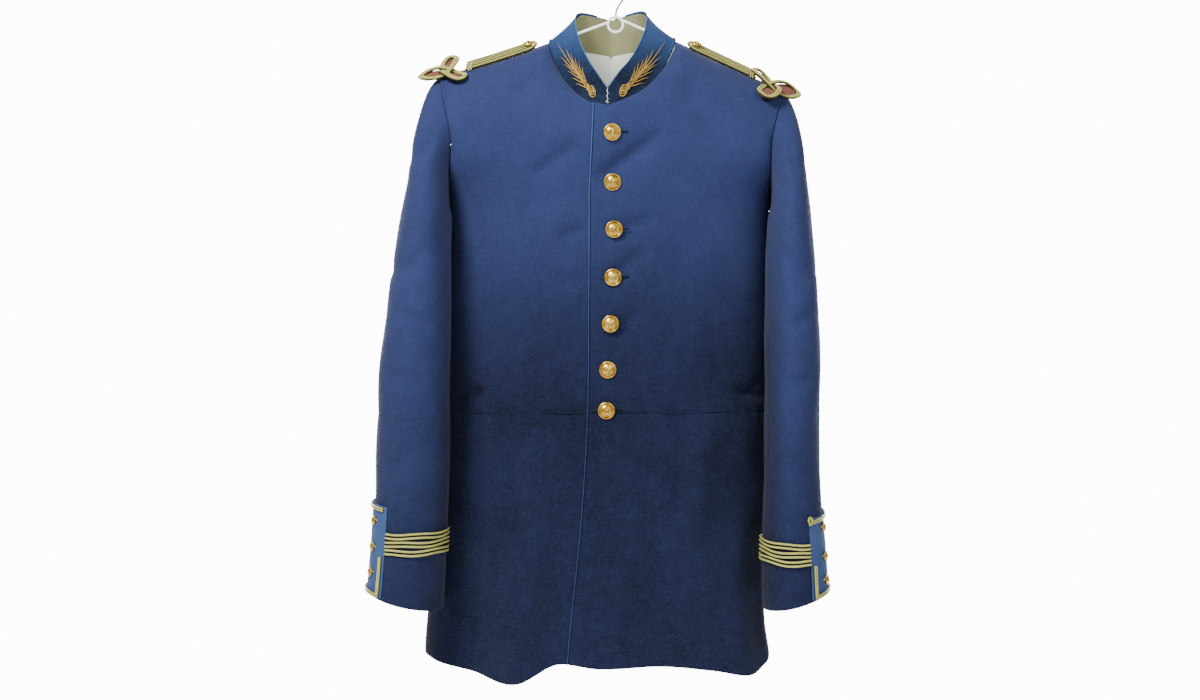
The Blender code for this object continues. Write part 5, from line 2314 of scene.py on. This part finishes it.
@dataclass
class Hanger:
    """A coated wire frame that hangs from a steel hook by its coiled eye."""

    wire: float = 3.1
    hook: float = 2.4
    eye: Point = (3.0, 0.0, -55.0)
    eye_diameter: float = 18.0
    eye_pitch: float = 4.2
    bar: float = -184.0
    starts: dict[Side, tuple] = field(
        default_factory=lambda: {
            Side.RIGHT: ((-43.0, 0.0, -66.0), (-67.0, 0.0, -84.0)),
            Side.LEFT: ((39.0, 0.0, -62.0), (65.0, 0.0, -83.0)),
        }
    )

    def coil(self) -> Array:
        """The eye, a turn and a third of wire."""
        angle = np.radians(np.linspace(-75.0, 405.0, 81))
        x, y, z = self.eye
        reach = self.eye_diameter / 2
        y = y + np.linspace(-self.eye_pitch, self.eye_pitch, 81) / 2
        return np.stack((x + reach * np.sin(angle), y, z + reach * np.cos(angle)), axis=-1)

    def arms(self) -> Array:
        """The wire round both arms and the bar, from the wearer's left."""
        below = np.array((0.0, 0.0, -(2.0 + self.wire / 2 + 2.0)))
        sides = {}
        for side, inner in self.starts.items():
            along = (0.08, 0.36, 0.62, 0.84)
            under = [sided_point(SHOULDER, side, share) + below for share in along]
            bend = [under[-1] + np.array((side * 8.0, 0.0, drop)) for drop in (-9.0, -22.0)]
            bar = [(side * 150.0, 5.0, self.bar), (side * 50.0, 5.0, self.bar - 2)]
            sides[side] = list(inner) + under + bend + bar
        return smooth_path(sides[Side.LEFT] + sides[Side.RIGHT][::-1], 8)

    def hook_path(self) -> Array:
        """The steel hook, from beneath the eye up and round."""
        x, y, z = self.eye
        under = z + (self.eye_diameter - self.wire - self.hook) / 2 - 0.3
        behind = (self.eye_pitch + self.wire + self.hook) / 2 + 0.3
        stem = (
            (x, y - behind - 2.6, under - 1.2),
            (x, y - behind + 1.0, under - 0.3),
            (x, y, under - 0.2),
            (x, y + behind - 0.6, under + 0.6),
            (x + 0.3, y + behind + 1.6, under + 5.0),
            (x + 1.2, y + behind, under + 12.0),
            (6.5, 1.4, -33.0),
        )
        angle = np.radians(np.linspace(112.0, -100.0, 60))
        top = self.hook / 2 - 16.0
        arc = np.stack((16.0 * np.sin(angle), angle * 0, top + 16.0 * np.cos(angle)), axis=-1)
        return np.concatenate((smooth_path(stem, 8), arc))

    def build(self) -> None:
        """Make the frame and the hook."""
        frame_path = np.concatenate((self.coil(), self.arms()))
        Cord("hanger_frame", frame_path, self.wire, Finish.COATING, True, closed=True).build()
        Cord("hanger_hook", self.hook_path(), self.hook, Finish.STEEL, True).build()


@dataclass
class Studio:
    """White surroundings, soft lights and the camera."""

    floor_height: float = -1.25
    floor_reach: float = 1.4
    behind: float = 13.0
    around: float = 0.35
    lens: float = 62.5
    sensor: float = 36.0
    viewer: Point = (-0.0156, -2.5, -0.4455)

    def light(self, name: str, place: Sequence[float], size: float, watts: float) -> None:
        """A soft square light that looks at the tunic's chest.

        Args:
            name: the lamp's name.
            place: where it stands, in metres.
            size: the length of its side.
            watts: its power.
        """
        data = bpy.data.lights.new(name, "AREA")
        data.shape = "SQUARE"
        data.size = size
        data.energy = watts
        lamp = shown(name, data)
        lamp.location = place
        aim = Vector((0.0, 0.0, -0.40)) - Vector(place)
        lamp.rotation_euler = aim.to_track_quat("-Z", "Y").to_euler()

    def room(self) -> None:
        """A dim room that is bright white behind the tunic."""
        world = bpy.data.worlds.new("white wall")
        world.use_nodes = True
        graph = Graph(world.node_tree)
        way = graph.node("ShaderNodeTexCoord", {}, {}).outputs["Generated"]
        dim = (self.around, self.around, self.around * 1.04, 1.0)
        bright = (self.behind, self.behind, self.behind, 1.0)
        shade = graph.blend(graph.part(way, "Y").ramp(0.75, 0.90), dim, bright)
        graph.feed(graph.tree.nodes["Background"].inputs["Color"], shade)
        bpy.context.scene.world = world

    def build(self) -> None:
        """Make the floor, the world, the lights and the camera."""
        maker = bmesh.new()
        bmesh.ops.create_grid(maker, x_segments=2, y_segments=2, size=self.floor_reach)
        bmesh.ops.translate(maker, verts=maker.verts, vec=(0.0, 0.0, self.floor_height))
        mesh = finished(maker, "floor")
        floor = shown("floor", mesh)
        paper = bpy.data.materials.new("paper")
        paper.use_nodes = True
        surface = paper.node_tree.nodes["Principled BSDF"]
        surface.inputs["Base Color"].default_value = (0.9, 0.9, 0.9, 1.0)
        mesh.materials.append(paper)
        self.room()
        self.light("key", (-1.3, -1.7, 1.5), 0.8, 88.0)
        self.light("fill", (1.3, -2.2, 0.6), 1.4, 22.0)
        data = bpy.data.cameras.new("camera")
        data.lens = self.lens
        data.sensor_width = self.sensor
        camera = shown("camera", data)
        camera.location = self.viewer
        camera.rotation_euler = (math.pi / 2, 0.0, 0.0)
        bpy.context.scene.camera = camera


def corners(box: Sequence[Vector]) -> list[list[float]]:
    """A box's two corners as plain lists."""
    return [list(corner) for corner in box]


def main() -> None:
    """Build every piece of the tunic and its hanger."""
    logging.basicConfig(level=logging.INFO, format="%(message)s")
    make_materials()
    Bodice().build()
    Skirt().build()
    for side in Side:
        Sleeve(side).build()
    Collar().build()
    Seams().build()
    Piping().build()
    Fastening().build()
    for side in Side:
        Cuff(side).build()
        Shoulder(side).build()
        Emblem(side).build()
    CollarJoin().build()
    Hanger().build()
    Studio().build()


if __name__ == "__main__":
    main()
